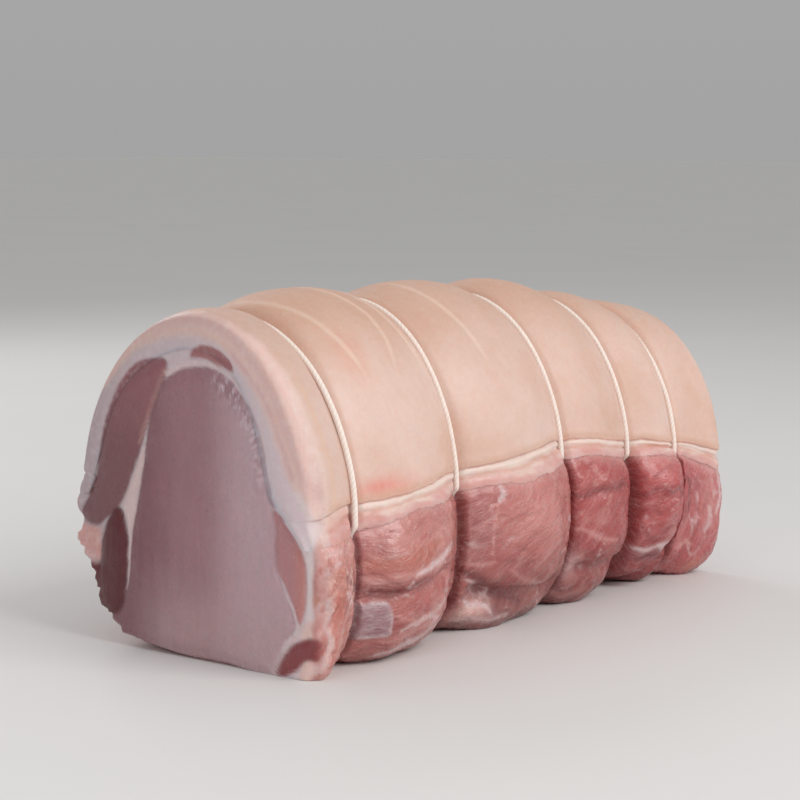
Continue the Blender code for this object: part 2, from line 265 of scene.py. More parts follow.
def swell(along, heights):
    """The bulge in each stretch: nothing at a string, most halfway to the next."""
    along = np.asarray(along, float)
    rise = np.zeros_like(along)
    for height, start, end in zip(heights, STATIONS, STATIONS[1:]):
        within = (along >= start) & (along <= end)
        # Each end stretch is the half of a bulge that the cut has left.
        first = -end if start == 0 else start + CHANNEL_FLOOR
        last = 2 * LENGTH - start if end == LENGTH else end - CHANNEL_FLOOR
        share = np.clip((along - first) / (last - first), 0, 1)
        shape = 1 - np.abs(2 * share - 1) ** SWELL_ROUNDNESS
        rise = np.where(within, height * shape, rise)
    return rise


def channel(along, floor=CHANNEL_FLOOR, top=CHANNEL_TOP):
    """1 in the groove that each string has pressed into the surface, 0 beside it."""
    pressed = np.zeros_like(np.asarray(along, float))
    for where in STRING_PLACES:
        pressed = np.maximum(pressed, 1 - ramp(np.abs(along - where), floor, top))
    return pressed


def rim(along, turn):
    """How far the rounded rims of the two cut faces turn in."""
    side = (1 + np.sin(np.radians(turn))) / 2
    total = 0
    for (depth, near_inset, far_inset), to_face in (
        (NEAR_FACE_RIM, along),
        (FAR_FACE_RIM, LENGTH - along),
    ):
        inset = near_inset * side + far_inset * (1 - side)
        total = total + inset * (1 - np.sqrt(1 - np.clip(1 - to_face / depth, 0, 1) ** 2))
    return total


def unevenness(along, turn):
    """Broad low waves over the whole loin, so that no stretch is quite regular."""
    angle = np.radians(turn)
    waves = np.sin(along / 17 + 2 * angle) + np.sin(along / 29 - 3 * angle + 1.3)
    return UNEVENNESS * (waves + 0.7 * np.sin(5 * angle + along / 41))


def section(along, turn):
    """The plain cross-section: a round arch above the axis on a squarer foot below it."""
    sine = np.abs(np.sin(np.radians(turn)))
    cosine = np.cos(np.radians(turn))
    near = turn >= 0
    width = np.where(near, eased(along, NEAR_HALF_WIDTH), eased(along, FAR_HALF_WIDTH))
    power = np.where(
        near, eased(along, NEAR_FOOT_SQUARENESS), eased(along, FAR_FOOT_SQUARENESS)
    )
    arch = eased(along, CROWN_HEIGHT) - AXIS_HEIGHT
    top = 1 / np.sqrt((sine / width) ** 2 + (cosine / arch) ** 2)
    foot = ((sine / width) ** power + (np.abs(cosine) / AXIS_HEIGHT) ** power) ** (-1 / power)
    return np.where(cosine >= 0, top, foot)


def lumps_and_folds(along, turn):
    """Relief of the bare meat: muscles that stand out and the folds that part them."""
    height = np.zeros(np.broadcast(along, turn).shape)
    for *lump, rise in LUMPS:
        height = height + rise * np.exp(-spot(along, turn, *lump) * LUMP_FALLOFF)
    for start, end, turn_start, turn_end, width, depth in FOLDS:
        share = np.clip((along - start) / (end - start), 0, 1)
        middle = turn_start + (turn_end - turn_start) * share
        fade = ramp(along, start - 4, start + 6) * (1 - ramp(along, end - 6, end + 4))
        height = height - depth * fade * bell(turn - middle, width)
    return height


def waver(along, broad, fine, seed):
    """An uneven line along the loin, the sum of a broad and a fine wave."""
    points = np.stack([along, 0 * along, 0 * along], axis=-1)
    return broad * noise(points, 9.0, seed) + fine * noise(points, 2.3, seed + 1)


def edges(along):
    """Turns of the rind's edge and of the fat's edge at -Y, then of the same two at +Y."""
    along = np.asarray(along, float)
    near_rind = eased(along, NEAR_RIND_EDGE) + waver(along, 0.5, 0.25, 11)
    for where, reach, turn in RIND_DIPS:
        near_rind = near_rind + turn * np.exp(-(((along - where) / reach) ** 2) * 2)
    near_fat = eased(along, NEAR_FAT_EDGE) + waver(along, 0.9, 0.55, 13)
    for where, reach, turn in FAT_DIPS:
        near_fat = near_fat + turn * bell(along - where, reach)
    far_rind = eased(along, FAR_RIND_EDGE) + waver(along, 0.8, 0.3, 15)
    far_fat = eased(along, FAR_FAT_EDGE) + waver(along, 1.2, 0.5, 17)
    return near_rind, near_fat, far_rind, far_fat


def lip_share(along, turn):
    """How much of its lip, swell and lumps the meat has before and after each string at -Y."""
    share = np.ones(np.broadcast(along, turn).shape)
    for where, left, right in zip(STRING_PLACES, LIP_SHARES, AFTER_LIP_SHARES):
        before = where - along
        fade = bell(before, LIP_REACH) * (turn > 0)
        share = share - (1 - left) * fade * ramp(before, 0, LIP_START)
        share = share - (1 - right) * fade * ramp(-before, 0, LIP_START)
    return share


def bare_meat(along, turn):
    """1 where the meat is bare, 0 on the rind, blended over the band of fat between them."""
    near_rind, near_fat, far_rind, far_fat = edges(along)
    near = ramp(turn, near_rind, near_fat + 4)
    far = ramp(-turn, -far_rind, 4 - far_fat)
    return np.where(turn >= 0, near, far)


def past_rind(along, turn):
    """Degrees past the rind's edge, less than 0 on the rind."""
    near_rind, _, far_rind, _ = edges(along)
    return np.where(turn >= 0, turn - near_rind, far_rind - turn)


def past_fat(along, turn):
    """Degrees past the fat's edge, less than 0 under the fat."""
    _, near_fat, _, far_fat = edges(along)
    return np.where(turn >= 0, turn - near_fat, far_fat - turn)


def across_band(along, turn):
    """Degrees past the rind's edge, and the share of the way across the bare band of fat."""
    near_rind, near_fat, far_rind, far_fat = edges(along)
    past = past_rind(along, turn)
    width = np.where(turn >= 0, near_fat - near_rind, far_rind - far_fat)
    return past, np.clip(past / width, 0, 1)


def skin(along, turn):
    """The reach of the outside of the loin, as in the solids."""
    along, turn = np.broadcast_arrays(np.asarray(along, float), np.asarray(turn, float))
    bare = bare_meat(along, turn)
    under = ramp(np.abs(turn), *UNDERSIDE)
    pressed = channel(along) * (1 - bare)
    pressed = pressed + channel(along, BARE_CHANNEL_FLOOR, BARE_CHANNEL_TOP) * bare
    loose = np.clip(swell(along, np.full(len(RIND_SWELL), LOOSE_RISE)), 0, 1)
    beside = channel(along, *LIP_SPREAD)
    lip = (LIP_HEIGHT + BARE_LIP * beside) * (1 - pressed)
    meat_rise = (swell(along, MEAT_SWELL) + lip) * (1 - under)
    meat_rise = (meat_rise + loose * lumps_and_folds(along, turn)) * lip_share(along, turn)
    rise = swell(along, RIND_SWELL) * (1 - bare) + meat_rise * bare
    rise = rise + loose * unevenness(along, turn)
    past = past_rind(along, turn)
    step = ramp(past, 0, RIND_STEP_TURN) * (1 - ramp(past, *RIND_STEP_FADE))
    rise = rise - CHANNEL_DEPTH * pressed - RIND_STEP * step
    foot_lift = under * (FOOT_LIFT * (1 - loose) - FOOT_PRESS * loose)
    return section(along, turn) + rise - rim(along, turn) - foot_lift


def sunk(turn, bare):
    """How much deeper a string lies where it has cut into the bare sides."""
    return BARE_SINK * ramp(bare, 0.55, 1) * (1 - ramp(np.abs(turn), 128, 140))


def fat_thickness(along, turn):
    """Depth of the fat under the rind, thinning to the two edges of the layer."""
    _, near_fat, _, far_fat = edges(along)
    near = turn >= 0
    side = ramp(np.abs(turn), 5, 50)
    full = CROWN_FAT + np.where(near, NEAR_FAT - CROWN_FAT, FAR_FAT - CROWN_FAT) * side
    left = np.where(near, near_fat - turn, turn - far_fat)
    return FAT_EDGE_THICKNESS + (full - FAT_EDGE_THICKNESS) * ramp(left, 0, FAT_TAPER)


def place(along, turn, reach):
    """Points in millimetres, with what would hang below the floor pressed flat on it."""
    along, turn, reach = np.broadcast_arrays(along, turn, reach)
    sideways = -reach * np.sin(np.radians(turn)) + SIDE_SHIFT
    height = np.maximum(AXIS_HEIGHT + reach * np.cos(np.radians(turn)), 0)
    return np.stack([along - LENGTH / 2, sideways, height], axis=-1)


def columns(count):
    """Places of the rings of points: round each rim by equal angles, then closer at strings."""
    near_depth, far_depth = NEAR_FACE_RIM[0], FAR_FACE_RIM[0]
    quarter = np.arange(RIM_COLUMNS) / RIM_COLUMNS * math.pi / 2
    near = near_depth * (1 - np.cos(quarter))
    far = LENGTH - far_depth * (1 - np.cos(quarter))
    fine = np.linspace(near_depth, LENGTH - far_depth, COLUMN_SAMPLES)
    density = np.ones_like(fine)
    for where in STRING_PLACES:
        density += CROWDING * bell(fine - where, CROWDING_REACH)
    total = np.concatenate([[0], np.cumsum(density[1:])])
    middle = np.interp(np.linspace(0, total[-1], count - 2 * RIM_COLUMNS), total, fine)
    return np.concatenate([near, middle, far[::-1]])


class Shell:
    """Collects the points, marks and faces of one closed mesh, and then makes it."""

    def __init__(self):
        self.points, self.marks, self.faces, self.count = [], [], [], 0

    def add(self, points, marks):
        """Adds an array of points with its marks, and returns their numbers in its shape."""
        shape = points.shape[:-1]
        numbers = self.count + np.arange(math.prod(shape)).reshape(shape)
        self.points.append(points.reshape(-1, 3))
        self.marks.append(marks.reshape(-1, marks.shape[-1]))
        self.count += numbers.size
        return numbers

    def strip(self, first, second, closed=False):
        """Quads between two equal rows of points."""
        if closed:
            first, second = np.append(first, first[0]), np.append(second, second[0])
        corners = (first[:-1], first[1:], second[1:], second[:-1])
        self.faces.extend(np.stack(corners, axis=1).tolist())

    def between(self, first, second):
        """One face between two rows of points, of any length, that run the same way."""
        self.faces.append(list(first) + list(second)[::-1])

    def lace(self, rows, kept, near_line, far_line):
        """Faces between coarse rows, whose first and last meet the fine lines at the two ends."""
        last = len(rows) - 2
        for k in range(len(rows) - 1):
            for i in range(len(kept) - 1):
                fine = slice(kept[i], kept[i + 1] + 1)
                first = near_line[fine] if k == 0 else rows[k][i : i + 2]
                second = far_line[fine] if k == last else rows[k + 1][i : i + 2]
                self.between(first, second)

    def gathered(self):
        """All the points and all their marks, in the order of the mesh."""
        return np.concatenate(self.points), np.concatenate(self.marks)

    def piece(self, name):
        """The object made of what has been collected."""
        mesh = bpy.data.meshes.new(name)
        mesh.from_pydata((self.gathered()[0] * MM).tolist(), [], self.faces)
        form = bmesh.new()
        form.from_mesh(mesh)
        bmesh.ops.recalc_face_normals(form, faces=form.faces)
        form.to_mesh(mesh)
        form.free()
        mesh.shade_smooth()
        mesh.set_sharp_from_angle(angle=math.radians(SHARP_EDGE))
        piece = bpy.data.objects.new(name, mesh)
        bpy.context.scene.collection.objects.link(piece)
        return piece


def marks_of(along, turn, zone):
    """Marks of points: place along, turn and zone."""
    return np.stack(np.broadcast_arrays(along, turn, float(zone)), axis=-1).astype(float)


def set_values(mesh, name, values):
    """Stores one number or one triple for each point of the mesh."""
    values = np.asarray(values, np.float32)
    kind, field = ("FLOAT", "value") if values.ndim == 1 else ("FLOAT_VECTOR", "vector")
    mesh.attributes.new(name, kind, "POINT").data.foreach_set(field, values.ravel())


def set_colours(mesh, name, colours):
    full = np.concatenate([colours, np.ones((len(colours), 1))], axis=1).astype(np.float32)
    mesh.attributes.new(name, "FLOAT_COLOR", "POINT").data.foreach_set("color", full.ravel())


# Zones of a mesh: the outside, the two cut faces, and what lies against another piece.
SIDE, NEAR_FACE, FAR_FACE, HIDDEN = 0, 1, 2, 3

# Long shallow creases in the rind, each as places along the loin at five turns.
CREASE_TURNS = (2.0, 12.0, 21.0, 30.0, 41.0)
CREASES = (
    (25, 27.2, 30.2, 33, 35.6),
    (51, 54, 56.8, 56.2, 51.9),
    (95.6, 96.8, 98.3, 99.8, 100.6),
    (64, 66.2, 68, 69.4, 70),
)


def creases(along, turn):
    """Depth and lightness of the creases in the rind."""
    depth = np.zeros(np.broadcast(along, turn).shape)
    light = depth.copy()
    fade = ramp(turn, -12, 10) * (1 - ramp(turn, 33, 47))
    for places in CREASES:
        off = along - np.interp(turn, CREASE_TURNS, places)
        depth = depth - 0.38 * fade * bell(off, 0.75)
        depth = depth + 0.22 * fade * bell(off - 1.7, 1.3)
        light = light + fade * bell(off - 0.6, 0.8)
    return depth, light


def cap_turns(along):
    """Turns of the fat's outer rows, from its lip at +Y over the crown to its lip at -Y."""
    near_rind, near_fat, far_rind, far_fat = edges(along)
    rind = far_rind + (near_rind - far_rind) * np.linspace(0, 1, RIND_ROWS)
    far_band = far_rind - 1.0 + (far_fat - far_rind + 1.0) * np.linspace(1, 0, BAND_ROWS // 2)
    near_band = near_rind + 1.0 + (near_fat - near_rind - 1.0) * np.linspace(0, 1, BAND_ROWS)
    rows = [far_fat - np.array([0.1, 0.4, 0.35]), far_band, far_rind - np.array([0.7, 0.35])]
    rows += [rind[:, :-1], near_rind - np.array([0.5, 0.25]), near_rind]
    rows += [near_rind + np.array([0.2, 0.4, 0.6, 0.8]), near_band]
    rows += [near_fat + np.array([0.35, 0.4, 0.1])]
    return np.concatenate(rows, axis=1)


def cap_relief(points, along, turn):
    """Fine form of the fat's outside: the skin's bumps and creases, the ripples of the fat."""
    past, share = across_band(along, turn)
    on_rind = 1 - ramp(past, -0.4, 0.4)
    loose = 1 - channel(along)
    crease, _ = creases(along, turn)
    bumps = 0.30 * noise(points, 24.0, 21) + 0.10 * fractal(points, 6.5, 3, 22)
    rolled = 0.25 * bell(past + 1.6, 1.2)
    rind = bumps + loose * (crease + rolled)
    stretched = points * (0.22, 1.0, 1.0)
    ripples = 0.40 * fractal(stretched, 3.4, 3, 25) + 0.40 * noise(points, 9.0, 26)
    groove = 0.40 + 0.10 * noise(points, 12.0, 29)
    split = -0.9 * bell(share - groove, 0.10) * ramp(noise(points, 21.0, 27), -0.5, 0.2)
    lip = 0.12 + 0.30 * noise(points, 17.0, 28)
    roll = 0.55 * bell(share - 0.20, 0.14) + 0.5 * np.sin(math.pi * share)
    firm = ramp(np.where(turn >= 0, along, 20), 9, 17)
    lip = lip * ramp(share, 0.3, 0.65) * (1 - ramp(share, 0.75, 1))
    fat = ripples * (1 - share) + firm * (split + roll + lip)
    return on_rind * rind + (1 - on_rind) * loose * fat


def cap_shell():
    """The layer of fat with the rind on it: outside, inside, and a ring at each cut end."""
    along = columns(CAP_COLUMNS)[:, None]
    turn = cap_turns(along)
    along = np.broadcast_to(along, turn.shape)
    plain = skin(along, turn)
    reach = plain + cap_relief(place(along, turn, plain), along, turn)
    reach[:, -3:] -= np.array(LIP_DROPS)
    reach[:, :3] -= np.array(LIP_DROPS[::-1])
    kept = np.linspace(0, turn.shape[1] - 1, UNDER_FAT_ROWS).round().astype(int)
    under = plain - fat_thickness(along, turn)
    under[[0, -1]] -= FAT_OVERLAP

    shell = Shell()
    outer = shell.add(place(along, turn, reach), marks_of(along, turn, SIDE))
    coarse = along[:, kept], turn[:, kept]
    inner = shell.add(place(*coarse, under[:, kept]), marks_of(*coarse, HIDDEN))
    for row, after in zip(outer, outer[1:]):
        shell.strip(row, after)

    ends = []
    for column, zone, sign in ((0, NEAR_FACE, -1), (-1, FAR_FACE, 1)):
        rims = [outer[column]]
        # The last ring meets the inner surface, whose coarser points are part of it.
        for share in np.linspace(0, 1, RING_ROWS + 1)[1:]:
            ring_reach = reach[column] * (1 - share) + under[column] * share
            ring = place(along[column], turn[column], ring_reach)
            swelling = RING_SWELL * math.sin(math.pi * share) ** 2
            uneven = 0.12 * (1 - share) * fractal(ring, 7.0, 3, 31)
            ring[:, 0] += sign * (swelling + uneven + RING_GAP)
            marks = marks_of(along[column], turn[column], zone)
            if share == 1:
                fresh = np.setdiff1d(np.arange(len(ring)), kept)
                numbers = np.empty(len(ring), int)
                numbers[fresh] = shell.add(ring[fresh], marks[fresh])
                numbers[kept] = inner[column]
            else:
                numbers = shell.add(ring, marks)
            shell.strip(rims[-1], numbers)
            rims.append(numbers)
        ends.append(np.array(rims))

    shell.lace(inner, kept, ends[0][-1], ends[1][-1])
    last = len(inner) - 2
    for k in range(len(inner) - 1):
        for row in (0, -1):
            first = ends[0][:, row] if k == 0 else (outer[k, row], inner[k, row])
            second = ends[1][:, row] if k == last else (outer[k + 1, row], inner[k + 1, row])
            shell.between(first, second)
    return shell


# Direction in which the muscle fibres run in each stretch at -Y, in degrees up from the length.
FIBRE_LEAN = (58.0, 12.0, 28.0, 38.0, 24.0, 70.0)


def fibre_frame(points, along, turn):
    """Places across and along the muscle fibres of the sides, warped as soft meat is."""
    stretch = np.clip(np.searchsorted(STRING_PLACES, along), 0, len(FIBRE_LEAN) - 1)
    lean = np.radians(np.array(FIBRE_LEAN)[stretch])
    lean = np.where(turn < 0, -lean, lean)
    middles = (np.array(STATIONS[1:]) + np.array(STATIONS[:-1])) / 2
    off = along - middles[stretch] + 3.0 * noise(points, 26.0, 41)
    girth = np.radians(np.abs(turn) - 100) * AXIS_HEIGHT + 4.0 * noise(points, 24.0, 42)
    run = off * np.cos(lean) - girth * np.sin(lean)
    across = off * np.sin(lean) + girth * np.cos(lean)
    inward = 0.22 * np.hypot(points[..., 1], points[..., 2] - AXIS_HEIGHT)
    return np.stack([run, across, 31.0 * stretch + inward], axis=-1)


# The square end of a rib's cartilage that shows at -Y: middle along and up, half sizes, rounding.
CARTILAGE = (25.6, 15.6, 5.9, 5.8, 1.3)


def cartilage_inside(along, height):
    """Millimetres inside the cartilage's outline, less than 0 outside it."""
    middle, level, half_length, half_height, rounding = CARTILAGE
    off_along = np.abs(along - middle + 0.05 * (height - level)) - half_length + rounding
    off_height = np.abs(height - level) - half_height + rounding
    outside = np.hypot(np.maximum(off_along, 0), np.maximum(off_height, 0))
    return rounding - outside - np.minimum(np.maximum(off_along, off_height), 0)


def meat_relief(points, along, turn):
    """Fine form of the bare sides: fibres, creases between bundles, soft small lumps."""
    fibre = fibre_frame(points, along, turn)
    bundles = 0.30 * noise(fibre * (0.10, 0.30, 1.0), 1.0, 51)
    wrinkled = ramp(noise(points, 19.0, 56), -0.25, 0.45)
    folded = np.abs(noise(fibre * (0.20, 0.62, 1.0), 1.0, 52))
    wrinkles = -0.42 * wrinkled * (1 - np.clip(folded / 0.5, 0, 1)) ** 2
    creased = -0.45 * veins(fibre * (0.05, 0.12, 1.0), 1.0, 0.12, 53)
    crinkled = ramp(noise(points, 13.0, 62), -0.3, 0.4)
    crinkles = 0.26 * crinkled * noise(fibre * (0.42, 1.05, 1.0), 1.0, 63)
    lumps = 0.60 * noise(points, 9.5, 54) + 0.25 * noise(points, 4.2, 55)
    relief = bundles + wrinkles + creased + crinkles + lumps
    torn = bell(along, 4.0) * ramp(-turn, 95, 101) * (1 - ramp(-turn, 144, 156))
    relief = relief + torn * (1.3 * fractal(points, 4.5, 2, 57) + 1.7 * noise(points, 1.6, 58))
    front = (1 - ramp(along, 15, 19)) * ramp(turn, 86, 92) * (1 - ramp(turn, 140, 150))
    slanted = fibre * (0.16, 0.55, 1.0)
    relief = relief + front * (0.75 * noise(slanted, 1.0, 59) + 0.45 * fractal(points, 2.6, 2, 60))
    near = np.where(turn >= 0, 1.0, 0.0) * (turn < 138)
    plate = ramp(cartilage_inside(along, points[..., 2]), -0.9, 0.9) * near
    relief = relief * (1 - 0.85 * plate) + (0.3 + 0.5 * (1 - ramp(along, 20, 27))) * plate
    pressed = channel(along, BARE_CHANNEL_FLOOR, BARE_CHANNEL_TOP)
    return relief * (1 - ramp(np.abs(turn), 140, 156)) * (1 - 0.7 * pressed)


def meat_turns(along):
    """Turns of the bare rows, from under the fat at -Y round below to under the fat at +Y."""
    _, near_fat, _, far_fat = edges(along)
    start, end = near_fat - TUCK, far_fat + 360 + TUCK
    corner, back = LOW_TURNS
    side = start + (corner - start) * np.linspace(0, 1, SIDE_ROWS)
    low = corner + (back - corner) * np.linspace(0, 1, LOW_ROWS)[1:-1] ** 1.35
    below = np.broadcast_to(low, (len(along), len(low)))
    far_side = back + (end - back) * np.linspace(0, 1, FAR_SIDE_ROWS)
    turn = np.concatenate([side, below, far_side], axis=1)
    return np.where(turn > 180, turn - 360, turn)


def smoothed(loop, reach=9):
    """A closed loop of points with each moved to the mean of those near it."""
    weights = np.hanning(2 * reach + 3)[1:-1]
    weights /= weights.sum()
    wrapped = np.concatenate([loop[-reach:], loop, loop[:reach]])
    return np.stack([np.convolve(wrapped[:, k], weights, "valid") for k in range(3)], axis=1)


def meat_shell():
    """The lean meat: its bare sides, its hidden top under the fat, and the two cut faces."""
    along = columns(MEAT_COLUMNS)[:, None]
    bare = meat_turns(along)
    _, near_fat, _, far_fat = edges(along)
    across = np.linspace(0, 1, FINE_STEPS * (UNDER_FAT_ROWS - 1) + 1)
    fine = far_fat + 3 + (near_fat - far_fat - 6) * across
    kept = np.arange(0, fine.shape[1], FINE_STEPS)
    bare_along = np.broadcast_to(along, bare.shape)
    plain = skin(bare_along, bare)
    reach = plain + meat_relief(place(bare_along, bare, plain), bare_along, bare)
    past = past_fat(along, bare)
    firm = ramp(np.where(bare >= 0, bare_along, 20), 9, 17)
    reach = plain + (reach - plain) * ramp(past, -0.5, 3.5)
    covers = 0.15 * ramp(past, -1.6, -0.4) - 0.5 * (1 - ramp(past, -2.2, -0.9))
    reach += covers - 0.5 * firm * bell(past - 0.8, 1.4)

    shell = Shell()
    side = shell.add(place(bare_along, bare, reach), marks_of(bare_along, bare, SIDE))
    fine_along = np.broadcast_to(along, fine.shape)
    under = skin(fine_along, fine) - fat_thickness(fine_along, fine) + 0.2
    coarse = fine_along[:, kept], fine[:, kept]
    top = shell.add(place(*coarse, under[:, kept]), marks_of(*coarse, HIDDEN))
    for row, after in zip(side, side[1:]):
        shell.strip(row, after)
    for k in range(len(side) - 1):
        shell.between((side[k, -1], top[k, 0]), (side[k + 1, -1], top[k + 1, 0]))
        shell.between((top[k, -1], side[k, 0]), (top[k + 1, -1], side[k + 1, 0]))

    loops = []
    for column, zone, sign, ring_count in (
        (0, NEAR_FACE, 1, FACE_RINGS),
        (-1, FAR_FACE, -1, FAR_FACE_RINGS),
    ):
        line = place(fine_along[column], fine[column], under[column])
        fresh = np.setdiff1d(np.arange(len(line)), kept)
        numbers = np.empty(len(line), int)
        numbers[fresh] = shell.add(line[fresh], marks_of(0, fine[column, fresh], zone))
        numbers[kept] = top[column]
        loops.append(numbers)
        loop = np.concatenate([place(bare_along[column], bare[column], reach[column]), line])
        loop_turn = np.concatenate([bare[column], fine[column]])
        last = np.concatenate([side[column], numbers])
        middle = loop.mean(axis=0)
        even = smoothed(loop)
        shares = np.linspace(0, 1, ring_count + 1)[1:-1] ** 0.92
        for share in shares:
            ring = loop + (even - loop) * ramp(share, 0, 0.22)
            ring = ring + (middle - ring) * share
            deep = FACE_DISH * ramp(share, 0, 0.7)
            ring[:, 0] += sign * deep + face_relief(ring, zone, share)
            fresh_ring = shell.add(ring, marks_of(0, loop_turn, zone))
            shell.strip(last, fresh_ring, closed=True)
            last = fresh_ring
        middle = middle + np.array([sign * FACE_DISH, 0, 0])
        centre = shell.add(middle[None], marks_of([0], 0, zone))[0]
        shell.faces.extend([first, second, centre] for first, second in zip(last, np.roll(last, -1)))
    shell.lace(top, kept, *loops)
    return shell


def tone(red, green, blue):
    """A colour given as it looks on a screen, from 0 to 255, as light."""
    values = np.array([red, green, blue]) / 255
    return np.where(values <= 0.04045, values / 12.92, ((values + 0.055) / 1.055) ** 2.4)


def mixed(base, colour, share):
    """The base with this share, from 0 to 1, of a colour in it."""
    return base + (np.asarray(colour) - base) * np.clip(share, 0, 1)[..., None]


def layered(base, *layers):
    """The base with each layer's colour mixed into it in turn, by the layer's share."""
    for colour, share in layers:
        base = mixed(base, colour, share)
    return base


def on_face(points):
    """Points seen flat on a cut face: distance towards +Y, and height."""
    return np.stack([points[:, 1] - SIDE_SHIFT, points[:, 2]], axis=1)


def wobble(points, size, seed):
    """Two unlike noises side by side, to shift flat places by."""
    return np.stack([fractal(points, size, 3, seed), fractal(points, size, 3, seed + 3)], axis=1)


def smooth_line(line, closed=False, steps=6):
    """A soft curve through the corners of a line or loop."""
    points = np.array(line, float)
    if closed:
        points = np.concatenate([points[-1:], points, points[:2]])
    else:
        points = np.concatenate([2 * points[:1] - points[1:2], points, 2 * points[-1:] - points[-2:-1]])
    share = np.linspace(0, 1, steps, endpoint=False)[:, None]
    curve = []
    for a, b, c, d in zip(points, points[1:], points[2:], points[3:]):
        bend = (2 * a - 5 * b + 4 * c - d) * share**2 + (3 * b - a - 3 * c + d) * share**3
        curve.append(b + 0.5 * ((c - a) * share + bend))
    if not closed:
        curve.append(points[-2:-1])
    return np.concatenate(curve)


def line_distance(flat, line, closed=False):
    """Distance of flat points from a soft curve, and the share of the way along it."""
    curve = smooth_line(line, closed)
    if closed:
        curve = np.concatenate([curve, curve[:1]])
    nearest = np.full(len(flat), np.inf)
    share = np.zeros(len(flat))
    for k, (start, end) in enumerate(zip(curve, curve[1:])):
        step = end - start
        along = np.clip(((flat - start) @ step) / max(step @ step, 1e-9), 0, 1)
        off = np.hypot(*(flat - start - along[:, None] * step).T)
        closer = off < nearest
        nearest = np.where(closer, off, nearest)
        share = np.where(closer, (k + along) / (len(curve) - 1), share)
    return nearest, share


def inside(flat, loop):
    """Millimetres inside a soft closed outline, less than 0 outside it."""
    curve = smooth_line(loop, closed=True)
    within = np.zeros(len(flat), bool)
    for start, end in zip(curve, np.roll(curve, -1, axis=0)):
        spans = (start[1] > flat[:, 1]) != (end[1] > flat[:, 1])
        rise = end[1] - start[1]
        cross = start[0] + (flat[:, 1] - start[1]) / (rise if rise else 1) * (end[0] - start[0])
        within ^= spans & (flat[:, 0] < cross)
    away, _ = line_distance(flat, loop, closed=True)
    return np.where(within, away, -away)


# Outlines on the near cut face, each corner as its distance towards +Y and its height.
EYE = (
    (11, 90.5), (6, 93), (0, 94.4), (-8, 94.3), (-15, 91.8), (-20, 88), (-25, 83.5), (-28.5, 78),
    (-31, 71.5), (-32.5, 64), (-34, 57), (-36, 50), (-34.8, 42), (-35.2, 33), (-38.2, 27),
    (-41.3, 21), (-43, 16), (-38.1, 10), (-35, 3.5), (-33, -4), (30, -4), (44, 4), (40, 9), (34, 13),
    (31.4, 21), (29.8, 34), (28.6, 43), (26, 51), (24, 60), (22.2, 68), (19.5, 78), (15, 87),
)
SIDE_MUSCLE = (
    (12, 96), (20, 95.6), (27, 92.5), (33, 86.5), (38, 78), (41.5, 69), (44.5, 57), (49, 48),
    (52, 43), (50, 39.8), (44.5, 39), (39.5, 42.5), (34, 47), (30, 55), (25.4, 64), (23.4, 69),
    (19.3, 78), (15.6, 85), (11.8, 91),
)
WHITE_WEDGE = (
    (22.8, 67), (25.4, 63), (27.6, 58), (31.4, 51.5), (33, 46.3), (30.8, 38.3), (31, 30),
    (31.6, 19), (30.6, 22), (30, 30), (29, 38.5), (26.8, 47), (25, 55.4), (22.7, 64),
)
RED_STRIP = (
    (37.5, 44.8), (41.5, 38), (43.2, 31), (44.5, 26), (46.5, 20), (46, 13), (40, 9.5), (33.2, 13),
    (31.4, 25), (30.8, 34), (31.6, 39.5), (33.6, 45.2),
)
TOP_MUSCLE = (
    (1.6, 97.5), (-1, 100.4), (-6.9, 101.6), (-13.3, 99.8), (-17.4, 97), (-18, 94), (-12.2, 95.2),
    (-6.7, 96.8), (-1.2, 97.2),
)
RIGHT_STRIP = (
    (-34.3, 51.3), (-34.4, 45), (-33.8, 39), (-35.2, 33), (-38.3, 28.4), (-41.4, 23.5), (-45, 17.5),
    (-47.2, 23), (-47.8, 31), (-46.3, 38.8), (-41.8, 45), (-38, 50),
)
LOW_MUSCLE = (
    (-34.6, 2), (-38, 7), (-42.4, 11), (-48, 13.2), (-53.5, 13), (-56, 9.5), (-53, 6.8),
    (-47, 5.9), (-43.5, 2.5), (-38, 0),
)
BLUISH_FAT = (
    (36, 88), (30, 94), (22, 99), (12, 102.5), (1, 104), (-10, 102.6), (-17, 98.5), (-23, 93),
    (-29, 86), (-34, 77), (-37.8, 69), (-41, 62), (-46, 55), (-50, 48), (-50.5, 36), (-50, 22),
    (-46, 16), (-34, -6), (60, -6), (60, 60), (46, 79),
)
TOP_ARC = ((12, 92), (5, 94), (-4, 96), (-10, 95.2), (-16, 93), (-20, 90))
SIDE_SEAM = ((12, 93), (15, 88), (19, 81), (22, 74), (25, 68))
ROUGH_EDGE = ((-7, 93), (-13, 90.5), (-19, 86.5), (-24, 81), (-27.2, 74.5), (-29, 67), (-29.5, 60))
LOW_BORDER = ((-50, 21), (-47, 18), (-42.2, 12), (-37, 6), (-34, 1))
FRONT_SEAM = ((-45, 57.5), (-49, 51), (-50.2, 44), (-49.6, 36), (-49, 28), (-49.4, 20))
PINK_LINE = ((-18, 100), (-29.4, 89), (-35.5, 79), (-39.7, 69.5), (-43, 62))

